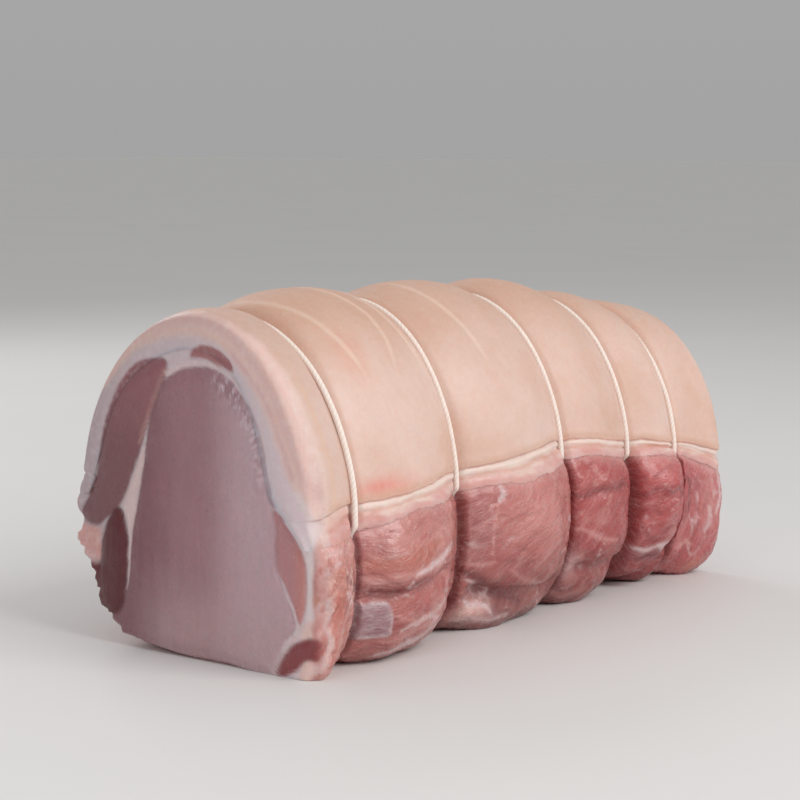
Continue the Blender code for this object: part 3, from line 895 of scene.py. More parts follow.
EYE_LEFT_TONE = tone(132, 82, 91)
EYE_TONE = tone(163, 118, 126)
EYE_RIGHT_TONE = tone(202, 171, 178)
EYE_LOW_TONE = tone(190, 158, 161)
SIDE_MUSCLE_TONE = tone(138, 86, 92)
RED_STRIP_TONE = tone(92, 12, 25)
TOP_MUSCLE_TONE = tone(168, 106, 109)
RIGHT_STRIP_TONE = tone(191, 132, 136)
LOW_MUSCLE_TONE = tone(142, 58, 62)
BLUISH_FAT_TONE = tone(222, 201, 206)
PINKISH_FAT_TONE = tone(238, 204, 195)
MEMBRANE_TONE = tone(222, 196, 196)
RIND_TONE = tone(222, 191, 178)
RIND_DEEP_TONE = tone(209, 167, 144)
RIND_PALE_TONE = tone(228, 201, 190)
BLUSH_TONE = tone(222, 160, 138)
CREAM_FAT_TONE = tone(222, 191, 181)
PINK_SIDE_TONE = tone(188, 114, 108)
ROSE_SIDE_TONE = tone(186, 108, 103)
MAUVE_SIDE_TONE = tone(160, 98, 97)
DEEP_SIDE_TONE = tone(152, 66, 68)
# Deep red of the clefts and folds, which also stands in for the shade in them: partly painted shade.
CLEFT_RED_AND_SHADE_TONE = tone(112, 42, 44)
ORANGE_TONE = tone(200, 126, 104)
PALE_PINK_TONE = tone(214, 158, 152)
CARTILAGE_TONE = tone(156, 115, 121)
SEAM_TONE = tone(178, 132, 128)
STRING_TONE = tone(248, 236, 228)
STRING_SHADE_TONE = tone(236, 216, 204)


def frothy(flat, points):
    """The torn edge of the eye muscle: how near each point is to it, and its short strands."""
    away, share = line_distance(flat, ROUGH_EDGE)
    strands = np.stack([share * 42.0, away * 0.30, 0 * away], axis=1) + 0.08 * points
    near = bell(away, 3.6) * ramp(share, 0, 0.12) * (1 - 0.6 * ramp(share, 0.6, 1))
    return near, noise(strands, 1.0, 95) + 0.5 * noise(points, 1.3, 97)


def with_muscles(colour, white, flat, mottle, muscles):
    """Paints outlined muscles over a cut face, and takes them out of its white fat."""
    for loop, shade, softness in muscles:
        depth = inside(flat, loop)
        colour = mixed(colour, shade * mottle[:, None], ramp(depth, -softness, softness))
        white = np.minimum(white, -depth)
    return colour, white


def face_colours(points):
    """Tints of the near cut face, and how far each point lies inside white fat."""
    flat = on_face(points) + 0.7 * wobble(points, 7.0, 61)
    across, height = flat.T
    cloudy = fractal(points, 16.0, 3, 67)

    band = inside(flat, BLUISH_FAT)
    # Painted shade: warm and shaded darken the fat of the near cut face towards +Y.
    warm = np.interp(across, (-50, -30, 0, 30, 50), (1.0, 0.97, 0.90, 0.87, 0.84))[:, None]
    colour = PINKISH_FAT_TONE * warm
    colour = mixed(colour, tone(226, 188, 186) * warm, 0.6 * bell(band + 5.5, 1.6))
    shaded = np.interp(across, (-50, -20, 20, 50), (1.10, 1.0, 0.87, 0.68))[:, None]
    colour = mixed(colour, BLUISH_FAT_TONE * shaded, ramp(band, -1.8, 1.2))
    white = np.full(len(points), 6.0)
    low_right = ramp(-across, 49.5, 51.5) * (1 - ramp(height, 40, 47))
    low_left = ramp(across, 41, 44) * (1 - ramp(height, 25, 29))
    colour = mixed(colour, mixed_pinks(points), low_right)
    colour = mixed(colour, RED_STRIP_TONE * 1.25, low_left)
    lump = ramp(across, 42, 44) * ramp(height, 25, 29) * (1 - ramp(height, 37, 40))
    colour = mixed(colour, mixed(PALE_PINK_TONE, MEMBRANE_TONE, cloudy * 2 + 0.5), lump)
    white = white - 8 * np.maximum(low_right, low_left)

    eye = inside(flat, EYE)
    low = 1 - ramp(height, 4, 36)
    # The eye is painted darker towards +Y and paler towards -Y: partly the muscle's own tone, partly
    # painted light from the -Y side.
    muscle = mixed(EYE_LEFT_TONE, EYE_TONE, ramp(-across, -27, -2))
    muscle = layered(
        muscle,
        (EYE_RIGHT_TONE, 0.85 * ramp(-across, 0, 24)),
        (EYE_LOW_TONE, 0.68 * low * ramp(-across, -36, -10)),
        (EYE_TONE, 0.5 * ramp(height, 76, 92)),
    )
    upright = points * (1, 1, 0.14)
    streaks = fractal(upright, 3.4, 3, 68) * ramp(across, -16, 4) * (1 - ramp(height, 50, 74))
    streaks = 0.16 * streaks + 0.05 * fractal(upright, 1.6, 2, 72)
    muscle = muscle * (1 + 0.06 * cloudy + streaks)[:, None]
    colour = mixed(colour, muscle, ramp(eye, -0.5, 0.5))
    white = np.minimum(white, -eye)
    side_muscle = SIDE_MUSCLE_TONE * np.interp(height, (38, 62, 90), (0.76, 0.86, 1.22))[:, None]
    colour, white = with_muscles(colour, white, flat, 1 + 0.08 * cloudy, (
        (SIDE_MUSCLE, side_muscle, 0.6),
        (RIGHT_STRIP, RIGHT_STRIP_TONE, 0.9),
        (TOP_MUSCLE, TOP_MUSCLE_TONE, 0.5),
        (RED_STRIP, RED_STRIP_TONE, 0.6),
        (LOW_MUSCLE, LOW_MUSCLE_TONE, 0.8),
    ))
    strip = ramp(inside(flat, RIGHT_STRIP), -0.9, 0.9)
    colour = mixed(colour, tone(204, 132, 122), 0.7 * strip * ramp(-across, 41, 46))
    wedge = inside(flat, WHITE_WEDGE)
    colour = mixed(colour, MEMBRANE_TONE, ramp(wedge, -0.5, 0.5))
    white = np.maximum(white, wedge)
    for line, width, strength, shade in (
        (TOP_ARC, 0.7, 0.9, MEMBRANE_TONE),
        (SIDE_SEAM, 0.6, 0.8, SEAM_TONE),
        (LOW_BORDER, 1.1, 0.9, MEMBRANE_TONE),
        (FRONT_SEAM, 1.5, 0.85, tone(238, 222, 222)),
        (PINK_LINE, 0.8, 0.5, tone(214, 168, 176)),
    ):
        away, _ = line_distance(flat, line)
        colour = mixed(colour, shade, strength * bell(away, width))
        if shade is not SEAM_TONE:
            white = np.maximum(white, np.where(away < width, width - away, white))
    froth, curls = frothy(flat, points)
    froth = froth * ramp(eye, -0.5, 1.2)
    colour = mixed(colour, tone(218, 200, 208), 0.95 * froth * ramp(curls, -0.05, 0.5))
    colour = mixed(colour, tone(136, 100, 108), 0.35 * froth * ramp(-curls, 0.05, 0.6))
    return colour, white


def mixed_pinks(points):
    """Fatty meat: pink and red, with paler streaks that run down and along."""
    slant = np.stack([points[:, 0], points[:, 1] + 0.6 * points[:, 2], 0.45 * points[:, 2]], axis=1)
    streaky, patchy = fractal(slant, 3.6, 3, 98), fractal(points, 9.0, 2, 99)
    colour = mixed(PALE_PINK_TONE, ORANGE_TONE, ramp(patchy, 0.0, 0.5))
    colour = mixed(colour, MEMBRANE_TONE, 0.8 * ramp(streaky, 0.02, 0.4))
    return mixed(colour, PINK_SIDE_TONE, 0.8 * ramp(-streaky, 0.05, 0.4))


# Marks on the bare side at -Y, each along a line of places along the loin and heights:
# the line, its half width, its strength and its colour.
# The strokes in the deep red cleft tone lie along folds and clefts: partly their red, partly painted
# shade.
SIDE_STROKES = (
    (((20, 30), (26, 28.2), (34, 28.6), (43, 30.2)), 1.0, 0.5, PALE_PINK_TONE),
    (((40, 29.6), (48, 31.2), (54, 32.2), (62, 36)), 1.3, 0.85, MEMBRANE_TONE),
    (((52, 32.3), (60, 27), (68, 22), (76, 20)), 1.0, 0.45, PALE_PINK_TONE),
    (((20, 34.2), (32, 34.6), (42, 36), (52, 38)), 2.4, 0.65, tone(184, 108, 92)),
    (((9, 32), (20.5, 26.5), (28, 24.2), (35, 24.6), (44, 26.8)), 1.9, 0.7, CLEFT_RED_AND_SHADE_TONE),
    (((44, 26.8), (52, 27.4), (60, 30)), 1.3, 0.6, tone(150, 66, 70)),
    (((36, 11), (46, 13.2), (57, 14.6), (66, 20)), 0.9, 0.6, MEMBRANE_TONE),
    (((30, 3), (40, 5), (52, 6.4), (61, 8)), 1.1, 0.7, MEMBRANE_TONE),
    (((30, 8), (38, 8.2), (46, 10), (57, 11.2), (68, 15)), 0.9, 0.5, PALE_PINK_TONE),
    (((34, 16), (44, 13), (54, 16), (66, 22)), 0.9, 0.4, PALE_PINK_TONE),
    (((92.4, 53), (92.6, 48), (90.6, 45.5)), 0.8, 0.8, MEMBRANE_TONE),
    (((90.6, 45.5), (88.8, 42), (88.2, 36), (88, 28)), 0.5, 0.55, PALE_PINK_TONE),
    (((89.5, 42), (84, 38), (79, 37)), 0.6, 0.4, PALE_PINK_TONE),
    (((79, 23), (85, 19.4), (92, 15.5), (99, 12.4), (112, 7.6)), 1.8, 0.75, CLEFT_RED_AND_SHADE_TONE),
    (((83, 12), (87, 9.6), (92, 9), (96, 6)), 0.9, 0.7, MEMBRANE_TONE),
    (((82, 5), (90, 4.4), (98, 3.6), (106, 3.8)), 0.9, 0.6, MEMBRANE_TONE),
    (((78, 26), (84, 24.8), (90, 25)), 0.5, 0.6, PALE_PINK_TONE),
    (((80, 20), (84, 18), (86, 17)), 0.6, 0.7, MEMBRANE_TONE),
    (((98, 21), (106, 17), (116, 14)), 0.7, 0.4, PALE_PINK_TONE),
    (((122, 49), (116, 44), (111, 41)), 0.6, 0.35, PALE_PINK_TONE),
    (((139, 42), (144, 41), (151, 42.2), (161, 42.5), (172, 41)), 1.0, 0.6, CLEFT_RED_AND_SHADE_TONE),
    (((140, 29.5), (147, 27), (153, 24), (160, 24)), 0.8, 0.55, PALE_PINK_TONE),
    (((184, 37), (188, 38.4), (197, 38), (206, 34)), 1.0, 0.45, CLEFT_RED_AND_SHADE_TONE),
    (((184, 16.2), (188, 14.6), (192, 15.2)), 0.7, 0.8, MEMBRANE_TONE),
    (((193, 15.6), (197, 15.2), (201, 16)), 1.2, 0.9, MEMBRANE_TONE),
    (((186, 12), (195, 12.5), (204, 10)), 1.1, 0.7, CLEFT_RED_AND_SHADE_TONE),
    (((210.5, 40), (214, 37), (217, 33)), 0.8, 0.5, CLEFT_RED_AND_SHADE_TONE),
    (((233, 46), (232, 38), (232, 30), (230, 24)), 0.9, 0.75, MEMBRANE_TONE),
    (((226, 27), (227, 22), (225, 18)), 0.9, 0.6, MEMBRANE_TONE),
    (((213, 12), (217, 14), (220, 12.6)), 0.9, 0.7, PALE_PINK_TONE),
    (((213, 39), (215, 33), (215.4, 26)), 0.8, 0.6, CLEFT_RED_AND_SHADE_TONE),
    (((185, 24), (190, 19), (196, 18)), 1.4, 0.35, CLEFT_RED_AND_SHADE_TONE),
    (((140, 7.5), (143, 5.6), (147, 7)), 1.2, 0.6, CLEFT_RED_AND_SHADE_TONE),
    (((-0.5, 36.8), (0.7, 39.7), (3.6, 42), (13, 43.3)), 1.2, 0.7, tone(214, 132, 104)),
    (((1, 38), (3.5, 40.2), (9, 41)), 0.8, 0.8, MEMBRANE_TONE),
    (((0.5, 33), (3, 35.5), (7, 37.5)), 0.7, 0.8, MEMBRANE_TONE),
    (((3, 31), (6, 34), (12, 38)), 0.9, 0.6, ORANGE_TONE),
    (((1.5, 28), (2.5, 23), (2.4, 17.5), (4, 12)), 1.1, 0.75, MEMBRANE_TONE),
    (((5, 28), (5, 22), (4.5, 17), (6.5, 10)), 1.0, 0.5, tone(206, 104, 88)),
    (((9, 27), (14, 24), (20, 22)), 0.9, 0.6, MEMBRANE_TONE),
    (((4, 15), (3.8, 9), (3, 4), (0.5, 1)), 1.3, 0.8, MEMBRANE_TONE),
    (((12, 12), (15, 8), (19, 5)), 0.8, 0.5, PALE_PINK_TONE),
)

# Broad soft patches on the side at -Y: place, height, reach along, reach up, strength, colour.
SIDE_PATCHES = (
    (8, 45.5, 12, 4, 0.7, tone(206, 166, 156)),
    (3, 40, 4, 3, 0.55, ORANGE_TONE),
    (14, 31, 5, 5, 0.6, DEEP_SIDE_TONE),
    (6, 24, 3, 8, 0.6, ORANGE_TONE),
    (15, 17, 5, 6, 0.55, PINK_SIDE_TONE),
    (0.5, 17, 3.6, 4, 0.85, tone(196, 92, 80)),
    (4, 7, 5, 5, 0.5, tone(206, 122, 106)),
    (30, 41, 14, 5, 0.55, PALE_PINK_TONE),
    (60, 42, 12, 6, 0.5, PALE_PINK_TONE),
    (45, 34, 16, 4, 0.4, tone(186, 110, 94)),
    (50, 21, 18, 4, 0.5, ROSE_SIDE_TONE),
    (66, 8, 10, 5, 0.5, PALE_PINK_TONE),
    (83, 36, 6, 15, 0.75, MAUVE_SIDE_TONE),
    # A pale lump low on the second stretch, painted paler than its own colour: painted light against
    # the shade it sits in.
    (87, 7.5, 7, 4, 0.85, tone(248, 208, 200)),
    (101, 15, 6, 4, 0.5, tone(150, 62, 62)),
    (79.5, 10, 1.6, 7, 0.6, tone(140, 48, 50)),
    # The top of the second stretch's bulge painted paler: partly its rosy tone, partly painted light.
    (109, 40, 14, 12, 0.7, tone(206, 140, 134)),
    (96, 24, 6, 8, 0.4, DEEP_SIDE_TONE),
    # Painted shade on the wall just after the first string.
    (22, 40, 3, 9, 0.5, DEEP_SIDE_TONE),
    (120, 12, 12, 5, 0.55, ROSE_SIDE_TONE),
    (141, 16, 4, 5, 0.75, tone(208, 172, 170)),
    (138, 4.5, 14, 2.2, 0.75, PALE_PINK_TONE),
    (148, 46, 9, 4, 0.4, PINK_SIDE_TONE),
    (160, 14, 12, 6, 0.3, PINK_SIDE_TONE),
    (176, 12, 5, 5, 0.4, PALE_PINK_TONE),
    (192, 47, 8, 4.5, 0.65, tone(204, 130, 128)),
    (190, 33, 9, 5, 0.4, tone(148, 58, 57)),
    (158, 33, 9, 6, 0.38, tone(156, 66, 64)),
    (192, 13, 8, 3, 0.5, CARTILAGE_TONE),
    (226, 30, 4, 14, 0.45, PALE_PINK_TONE),
    (225, 4, 6, 3, 0.6, ORANGE_TONE),
)

# Blotches of the rind: place along, turn, reach along, reach round, strength, colour.
RIND_BLOTCHES = (
    (35, 34, 7, 9, 0.55, BLUSH_TONE),
    (29, 77.5, 7, 2.4, 0.7, tone(220, 124, 112)),
    (34, 78.5, 16, 4, 0.55, tone(226, 152, 136)),
    (7, 32, 5, 12, 0.35, RIND_DEEP_TONE),
    (148, 10, 8, 12, 0.4, RIND_DEEP_TONE),
    (83, 25, 5, 16, 0.35, RIND_DEEP_TONE),
    (6, 4, 8, 26, 0.5, RIND_DEEP_TONE),
    (60, 22, 10, 18, 0.35, RIND_DEEP_TONE),
    (110, 52, 20, 20, 0.3, RIND_PALE_TONE),
    (48, 55, 20, 16, 0.45, RIND_PALE_TONE),
    (45, -2, 18, 26, 0.4, tone(196, 150, 122)),
    (164, 48, 10, 24, 0.35, RIND_DEEP_TONE),
    (196, 46, 9, 20, 0.3, RIND_PALE_TONE),
    (222, 60, 8, 22, 0.45, RIND_DEEP_TONE),
    (120, -40, 22, 18, 0.4, RIND_DEEP_TONE),
    (45, -50, 16, 14, 0.4, RIND_PALE_TONE),
    (190, -30, 18, 20, 0.3, BLUSH_TONE),
    (70, -72, 12, 5, 0.4, BLUSH_TONE),
)

STRETCH_TONES = (
    tone(206, 148, 140),
    PINK_SIDE_TONE,
    ROSE_SIDE_TONE,
    tone(175, 79, 78),
    tone(190, 88, 89),
    tone(186, 96, 97),
)


def side_colours(points, along, turn):
    """Tints of the bare meat round the sides and below, and how far inside white each is."""
    stretch = np.clip(np.searchsorted(STRING_PLACES, along), 0, len(STRETCH_TONES) - 1)
    colour = np.array(STRETCH_TONES)[stretch]
    height = points[:, 2]
    shift = 1.3 * wobble(points, 9.0, 71)
    near = (turn >= 0) & (turn < 150)
    # The hidden side carries the same kinds of marks, shifted so that it is no mirror image.
    mirrored = (along * 0.93 + 141) % LENGTH
    flat = np.stack([np.where(near, along, mirrored), height], axis=1) + shift
    cloudy = fractal(points, 15.0, 3, 77)
    colour = mixed(colour, DEEP_SIDE_TONE, 0.5 * ramp(cloudy, 0.1, 0.6))
    colour = mixed(colour, PALE_PINK_TONE, 0.35 * ramp(-cloudy, 0.15, 0.6))
    fibre = fibre_frame(points, along, turn)
    strands = fractal(fibre * (0.07, 0.30, 1.0), 1.0, 3, 78)
    colour = mixed(colour, DEEP_SIDE_TONE, 0.65 * ramp(strands, 0.05, 0.45))
    fatty = 0.5 - 0.22 * ramp(along, 130, 142)
    colour = mixed(colour, PALE_PINK_TONE, fatty * ramp(-strands, 0.12, 0.5))
    # Painted shade: the meat is darkened towards the bottom, most on the middle stretches, with green
    # and blue darkened a little more.
    depth = np.interp(height, (3, 14, 28, 40), (0.58, 0.38, 0.08, 0))
    deeper = ((0, 19, 25, 76, 84, 136, 144, 205, 212), (0, 0, 0.4, 0.4, 1, 1, 0.8, 0.8, 0.1))
    depth = depth * np.interp(along, *deeper)
    colour = colour * (1 - depth[:, None]) ** np.array([1, 1.18, 1.18])
    below = ramp(np.abs(turn), 128, 150)
    visible = (1 - below) * np.where(near, 1.0, 0.85)
    for *patch, strength, shade in SIDE_PATCHES:
        colour = mixed(colour, shade, strength * visible * np.exp(-spot(*flat.T, *patch)))
    white = np.full(len(points), -6.0)
    for line, width, strength, shade in SIDE_STROKES:
        away, share = line_distance(flat, line)
        thinner = width * (0.65 + 0.7 * np.sin(math.pi * np.clip(share, 0.02, 0.98)))
        colour = mixed(colour, shade, strength * bell(away, thinner) * visible)
        if shade is MEMBRANE_TONE:
            white = np.maximum(white, (thinner - away) * visible - 4 * (1 - visible))
    feathered = fractal(fibre * (0.10, 0.62, 1.0), 1.0, 2, 83) * (1 - ramp(along, 15, 18.5))
    feathered = feathered * ramp(turn, 84, 90) * visible
    colour = mixed(colour, tone(226, 188, 178), 0.9 * ramp(feathered, 0.06, 0.42))
    colour = mixed(colour, tone(188, 106, 92), 0.75 * ramp(-feathered, 0.08, 0.45))
    filaments = veins(fibre * (0.045, 0.17, 1.0), 1.0, 0.045, 79)
    filaments = filaments * ramp(noise(points, 13.0, 80), 0.0, 0.35)
    filaments = filaments * (1 - ramp(height, 30, 48)) * visible
    colour = mixed(colour, MEMBRANE_TONE, 0.6 * filaments)
    plate = cartilage_inside(along + 0.3 * shift[:, 0], height) * near
    colour = mixed(colour, CARTILAGE_TONE, ramp(plate, -0.4, 0.4) * near)
    colour = mixed(colour, tone(206, 180, 182), 0.6 * bell(plate - 0.5, 0.5) * near)
    white = np.maximum(white, np.where(near, plate, -6))
    colour = mixed(colour, PALE_PINK_TONE, 0.6 * (1 - ramp(past_fat(along, turn), 0.5, 5.0)))
    pressed = channel(along, BARE_CHANNEL_FLOOR, BARE_CHANNEL_TOP)
    # Painted shade in the strings' grooves on the bare meat, in the deep red of the clefts.
    colour = mixed(colour, CLEFT_RED_AND_SHADE_TONE, (0.25 * channel(along) + 0.5 * pressed) * (1 - below))
    return colour, white


def cap_colours(points, along, turn, zone):
    """Tints of the rind and the fat, and how much each point is fat and not rind."""
    past, share = across_band(along, turn)
    cloudy = fractal(points, 26.0, 3, 81)
    streaky = fractal(points * (0.35, 1, 1), 5.0, 3, 84)
    _, light = creases(along, turn)

    rind = np.broadcast_to(RIND_TONE, (len(points), 3))
    rind = mixed(rind, RIND_DEEP_TONE, 0.55 * ramp(cloudy, -0.05, 0.5))
    rind = mixed(rind, RIND_PALE_TONE, 0.6 * ramp(-cloudy, -0.05, 0.5))
    uneven = 1 + 0.5 * fractal(points, 6.0, 2, 86)
    for *blotch, strength, shade in RIND_BLOTCHES:
        rind = mixed(rind, shade, strength * np.exp(-spot(along, turn, *blotch)) * uneven)
    # Painted shade: the rind is darkened over the crown and towards +Y.
    crown = ramp(turn, -70, -30) * (1 - ramp(turn, 8, 44))
    rind = layered(
        rind,
        (RIND_DEEP_TONE, 0.75 * crown),
        (tone(208, 180, 170), 0.5 * (1 - ramp(along, 15, 22))),
        (tone(236, 214, 198), 0.5 * light),
        (RIND_DEEP_TONE, 0.5 * bell(past + 1.0, 1.4)),
    )
    # Painted shade in the grooves: the rind is darker beside each string.
    beside = np.zeros(len(points))
    for where in STRING_PLACES:
        beside = np.maximum(beside, bell(along - where, 2.6))
    rind = mixed(rind, tone(214, 172, 152), 0.45 * beside)

    fat = np.broadcast_to(CREAM_FAT_TONE, (len(points), 3))
    fat = mixed(fat, tone(214, 164, 148), 0.8 * ramp(streaky, -0.05, 0.35))
    fat = mixed(fat, tone(230, 208, 196), 0.7 * ramp(-streaky, 0.0, 0.4))
    # Painted highlight along the rolled fat just under the rind's edge, and painted shade in a thin
    # line in the groove below it.
    lit = 0.22 + 0.06 * noise(points, 15.0, 87)
    roll_highlight = 0.85 - 0.6 * (1 - ramp(along, 14, 22))
    fat = layered(
        fat,
        (tone(236, 216, 206), roll_highlight * bell(share - lit, 0.15)),
        (tone(208, 150, 132), 0.55 * bell(share - lit - 0.24, 0.09)),
        (PALE_PINK_TONE, 0.85 * ramp(share + 0.35 * streaky, 0.42, 0.9)),
        (tone(206, 148, 118), 0.6 * bell(past, 0.6)),
    )

    front = (along < STRING_PLACES[0]) & (turn > 70) & (past > 0)
    beside_meat = side_colours(points[front], along[front], turn[front])[0]
    fat[front] = mixed(fat[front], beside_meat, 0.9 * ramp(share[front], 0.1, 0.75))
    fatness = ramp(past, -0.25, 0.25)
    colour = mixed(rind, fat, fatness)

    # The cut face's colours reach over its rim as far as the cut does.
    close = (along < 14) & (np.abs(turn) < 105)
    face = colour.copy()
    face[close] = face_colours(points[close])[0]
    # Painted shade: the cut face's colours are darkened where they wrap over the rim towards -Y.
    rim_painted_shade = 1 - 0.2 * ramp(turn, 20, 50) * ramp(along, 0.4, 4)
    face = face * rim_painted_shade[:, None]
    reach_over = np.interp(turn, (-90, -30, 10, 40, 70, 88), (1.6, 1.8, 1.2, 4.6, 5.6, 5.0))
    reach_over = reach_over + 0.7 * fractal(points, 6.0, 2, 88)
    softness = np.interp(turn, (-90, 10, 50, 85), (0.8, 1.6, 1.4, 0.9))
    over = 1 - ramp(along, reach_over - softness, reach_over + softness)
    over = np.where(zone == NEAR_FACE, 1.0, over * (np.abs(turn) < 100))
    colour = mixed(colour, face, over)
    # Painted highlight: a paler line along the ridge of the rounded rim.
    rim_highlight = bell(along - reach_over, 0.9) * ramp(turn, 20, 45) * (past < 2)
    colour = mixed(colour, tone(234, 210, 194), 0.3 * rim_highlight * (zone == SIDE))
    warm = bell(along - reach_over - 3.4, 1.2) * ramp(turn, 25, 50) * (past < -1)
    colour = mixed(colour, tone(224, 182, 148), 0.35 * warm * (zone == SIDE))
    fatness = np.maximum(fatness, over)

    far = np.broadcast_to(BLUISH_FAT_TONE, (len(points), 3))
    far = mixed(far, PINKISH_FAT_TONE, ramp(cloudy, -0.3, 0.4))
    far_over = np.where(zone == FAR_FACE, 1.0, 1 - ramp(LENGTH - along, 0.8, 2.6))
    colour = mixed(colour, far, far_over)
    return colour, np.maximum(fatness, far_over)


def face_relief(ring, zone, share):
    """Fine form of a cut face, as a shift along the loin: less is towards the near end."""
    flat = on_face(ring)
    inner = ramp(share, 0, 0.06)
    relief = 0.35 * noise(ring, 16.0, 91) + 0.10 * noise(ring, 4.0, 92)
    streaks = 0.10 * noise(ring * (1, 1.0, 0.10), 1.7, 93)
    if zone == FAR_FACE:
        seam = 0.5 * veins(ring * (0.1, 1, 1), 34.0, 0.035, 94)
        return inner * -(relief + streaks - seam)
    seams = np.zeros(len(ring))
    for loop in (EYE, SIDE_MUSCLE, RED_STRIP, TOP_MUSCLE, RIGHT_STRIP, LOW_MUSCLE):
        away, _ = line_distance(flat, loop, closed=True)
        seams = np.maximum(seams, bell(away, 0.75))
    eye = inside(flat, EYE)
    raised = 0.55 * ramp(eye, 0, 5) + 0.5 * ramp(inside(flat, RED_STRIP), 0, 4)
    raised += 0.5 * ramp(inside(flat, SIDE_MUSCLE), 0, 5) + 0.4 * ramp(inside(flat, LOW_MUSCLE), 0, 4)
    froth, curls = frothy(flat, ring)
    rough = 0.55 * froth * (eye > -1)
    return inner * -(relief + streaks + raised - 0.55 * seams + rough * curls)


def far_face_colours(points):
    """Tints of the far cut face: the same eye of meat and seams, cut 236 mm further on."""
    across, height = on_face(points).T
    shrunk = np.stack([across * 1.06 - 1, (height - 2) * 1.10], axis=1)
    shrunk = shrunk + 1.8 * wobble(points, 12.0, 101)
    mottle = 1 + 0.09 * fractal(points, 14.0, 3, 107)
    colour = np.broadcast_to(BLUISH_FAT_TONE, (len(points), 3))
    colour, white = with_muscles(colour, np.full(len(points), 6.0), shrunk, mottle, (
        (EYE, tone(184, 118, 120), 0.6),
        (SIDE_MUSCLE, SIDE_MUSCLE_TONE, 0.6),
        (RIGHT_STRIP, RIGHT_STRIP_TONE, 0.6),
        (TOP_MUSCLE, TOP_MUSCLE_TONE, 0.6),
        (RED_STRIP, RED_STRIP_TONE, 0.6),
        (LOW_MUSCLE, LOW_MUSCLE_TONE, 0.6),
    ))
    wedge = inside(shrunk, WHITE_WEDGE)
    colour = mixed(colour, MEMBRANE_TONE, ramp(wedge, -0.5, 0.5))
    return colour, np.maximum(white, wedge)


def make_string(number, where):
    """A loop of three-ply cotton string, taut over its groove, with its knot and cut ends."""
    turn = np.linspace(-180, 180, STRING_SAMPLES, endpoint=False)
    cut_in = sunk(turn, bare_meat(where, turn))
    reach = taut(turn, skin(where, turn)) - cut_in + STRING_LIFT
    sway = 0.25 * noise(np.stack([turn / 14, 0 * turn, 0 * turn], axis=1), 1.0, 110 + number)
    loop = even_path(place(where + sway, turn, reach), closed=True)
    shell = Shell()
    twisted_tube(shell, loop, STRING_DIAMETER / 2, closed=True)

    heart = place(where, KNOT_TURN, skin(where, KNOT_TURN) + KNOT_LIFT)
    angle = math.radians(KNOT_TURN)
    outward = np.array([0, -math.sin(angle), math.cos(angle)])
    round_by = np.array([0, -outward[2], outward[1]])
    lengthwise = np.array([1.0, 0, 0])
    share = np.linspace(0, 2 * math.pi, KNOT_SAMPLES, endpoint=False)[:, None]
    wide = np.sin(share) + 2 * np.sin(2 * share)
    high = np.cos(share) - 2 * np.cos(2 * share)
    deep = -np.sin(3 * share)
    tied = wide * lengthwise * 0.85 + high * round_by * 0.75 + deep * outward * 0.9
    tied = heart + KNOT_SCALE * tied
    twisted_tube(shell, even_path(tied, closed=True), KNOT_STRING_RADIUS, closed=True)
    share = np.linspace(0, 1, END_SAMPLES)
    for side, bend in ((1, 0.8), (-1, -0.5)):
        start = heart + side * lengthwise * KNOT_HALF
        along = where + side * (KNOT_HALF + END_LENGTH * share)
        end_turn = KNOT_TURN + bend * 9 * share**1.4
        lift = 1.2 + 1.4 * np.exp(-share * 5) + 0.5 * np.sin(share * 9 + number)
        tail = place(along, end_turn, skin(along, end_turn) + lift)
        tail = tail + (start - tail[0]) * np.exp(-share * 9)[:, None]
        twisted_tube(shell, even_path(tail), KNOT_STRING_RADIUS, frayed=True)
    return shell.piece(f"string_loop_{number}"), shell.gathered()[1]


def taut(turn, reach):
    """Pulls a closed line tight: the reach of its points' convex hull, at the same turns."""
    angle = np.radians(turn)
    corners = np.stack([reach * np.sin(angle), reach * np.cos(angle)], axis=1)
    corners = np.roll(corners, -corners[:, 1].argmax(), axis=0)
    hull = []
    for corner in np.concatenate([corners, corners[:1]]):
        while len(hull) > 1:
            last, following = hull[-1] - hull[-2], corner - hull[-1]
            if last[0] * following[1] < last[1] * following[0]:
                break
            hull.pop()
        hull.append(corner)
    hull = np.array(hull[:-1])
    edge = np.roll(hull, -1, axis=0) - hull
    outward = np.stack([-edge[:, 1], edge[:, 0]], axis=1)
    distance = (outward * hull).sum(axis=1)
    facing = outward @ np.stack([np.sin(angle), np.cos(angle)])
    return (distance[:, None] / np.maximum(facing, 1e-9)).min(axis=0)


def run_along(path):
    """How far along the path each of its points is."""
    return np.concatenate([[0], np.cumsum(np.linalg.norm(np.diff(path, axis=0), axis=1))])


def even_path(points, closed=False):
    """The same path with points at equal steps."""
    if closed:
        points = np.concatenate([points, points[:1]])
    run = run_along(points)
    count = max(int(run[-1] / STRING_STEP), 4)
    places = np.linspace(0, run[-1], count + 1)[: count if closed else count + 1]
    return np.stack([np.interp(places, run, points[:, k]) for k in range(3)], axis=1)


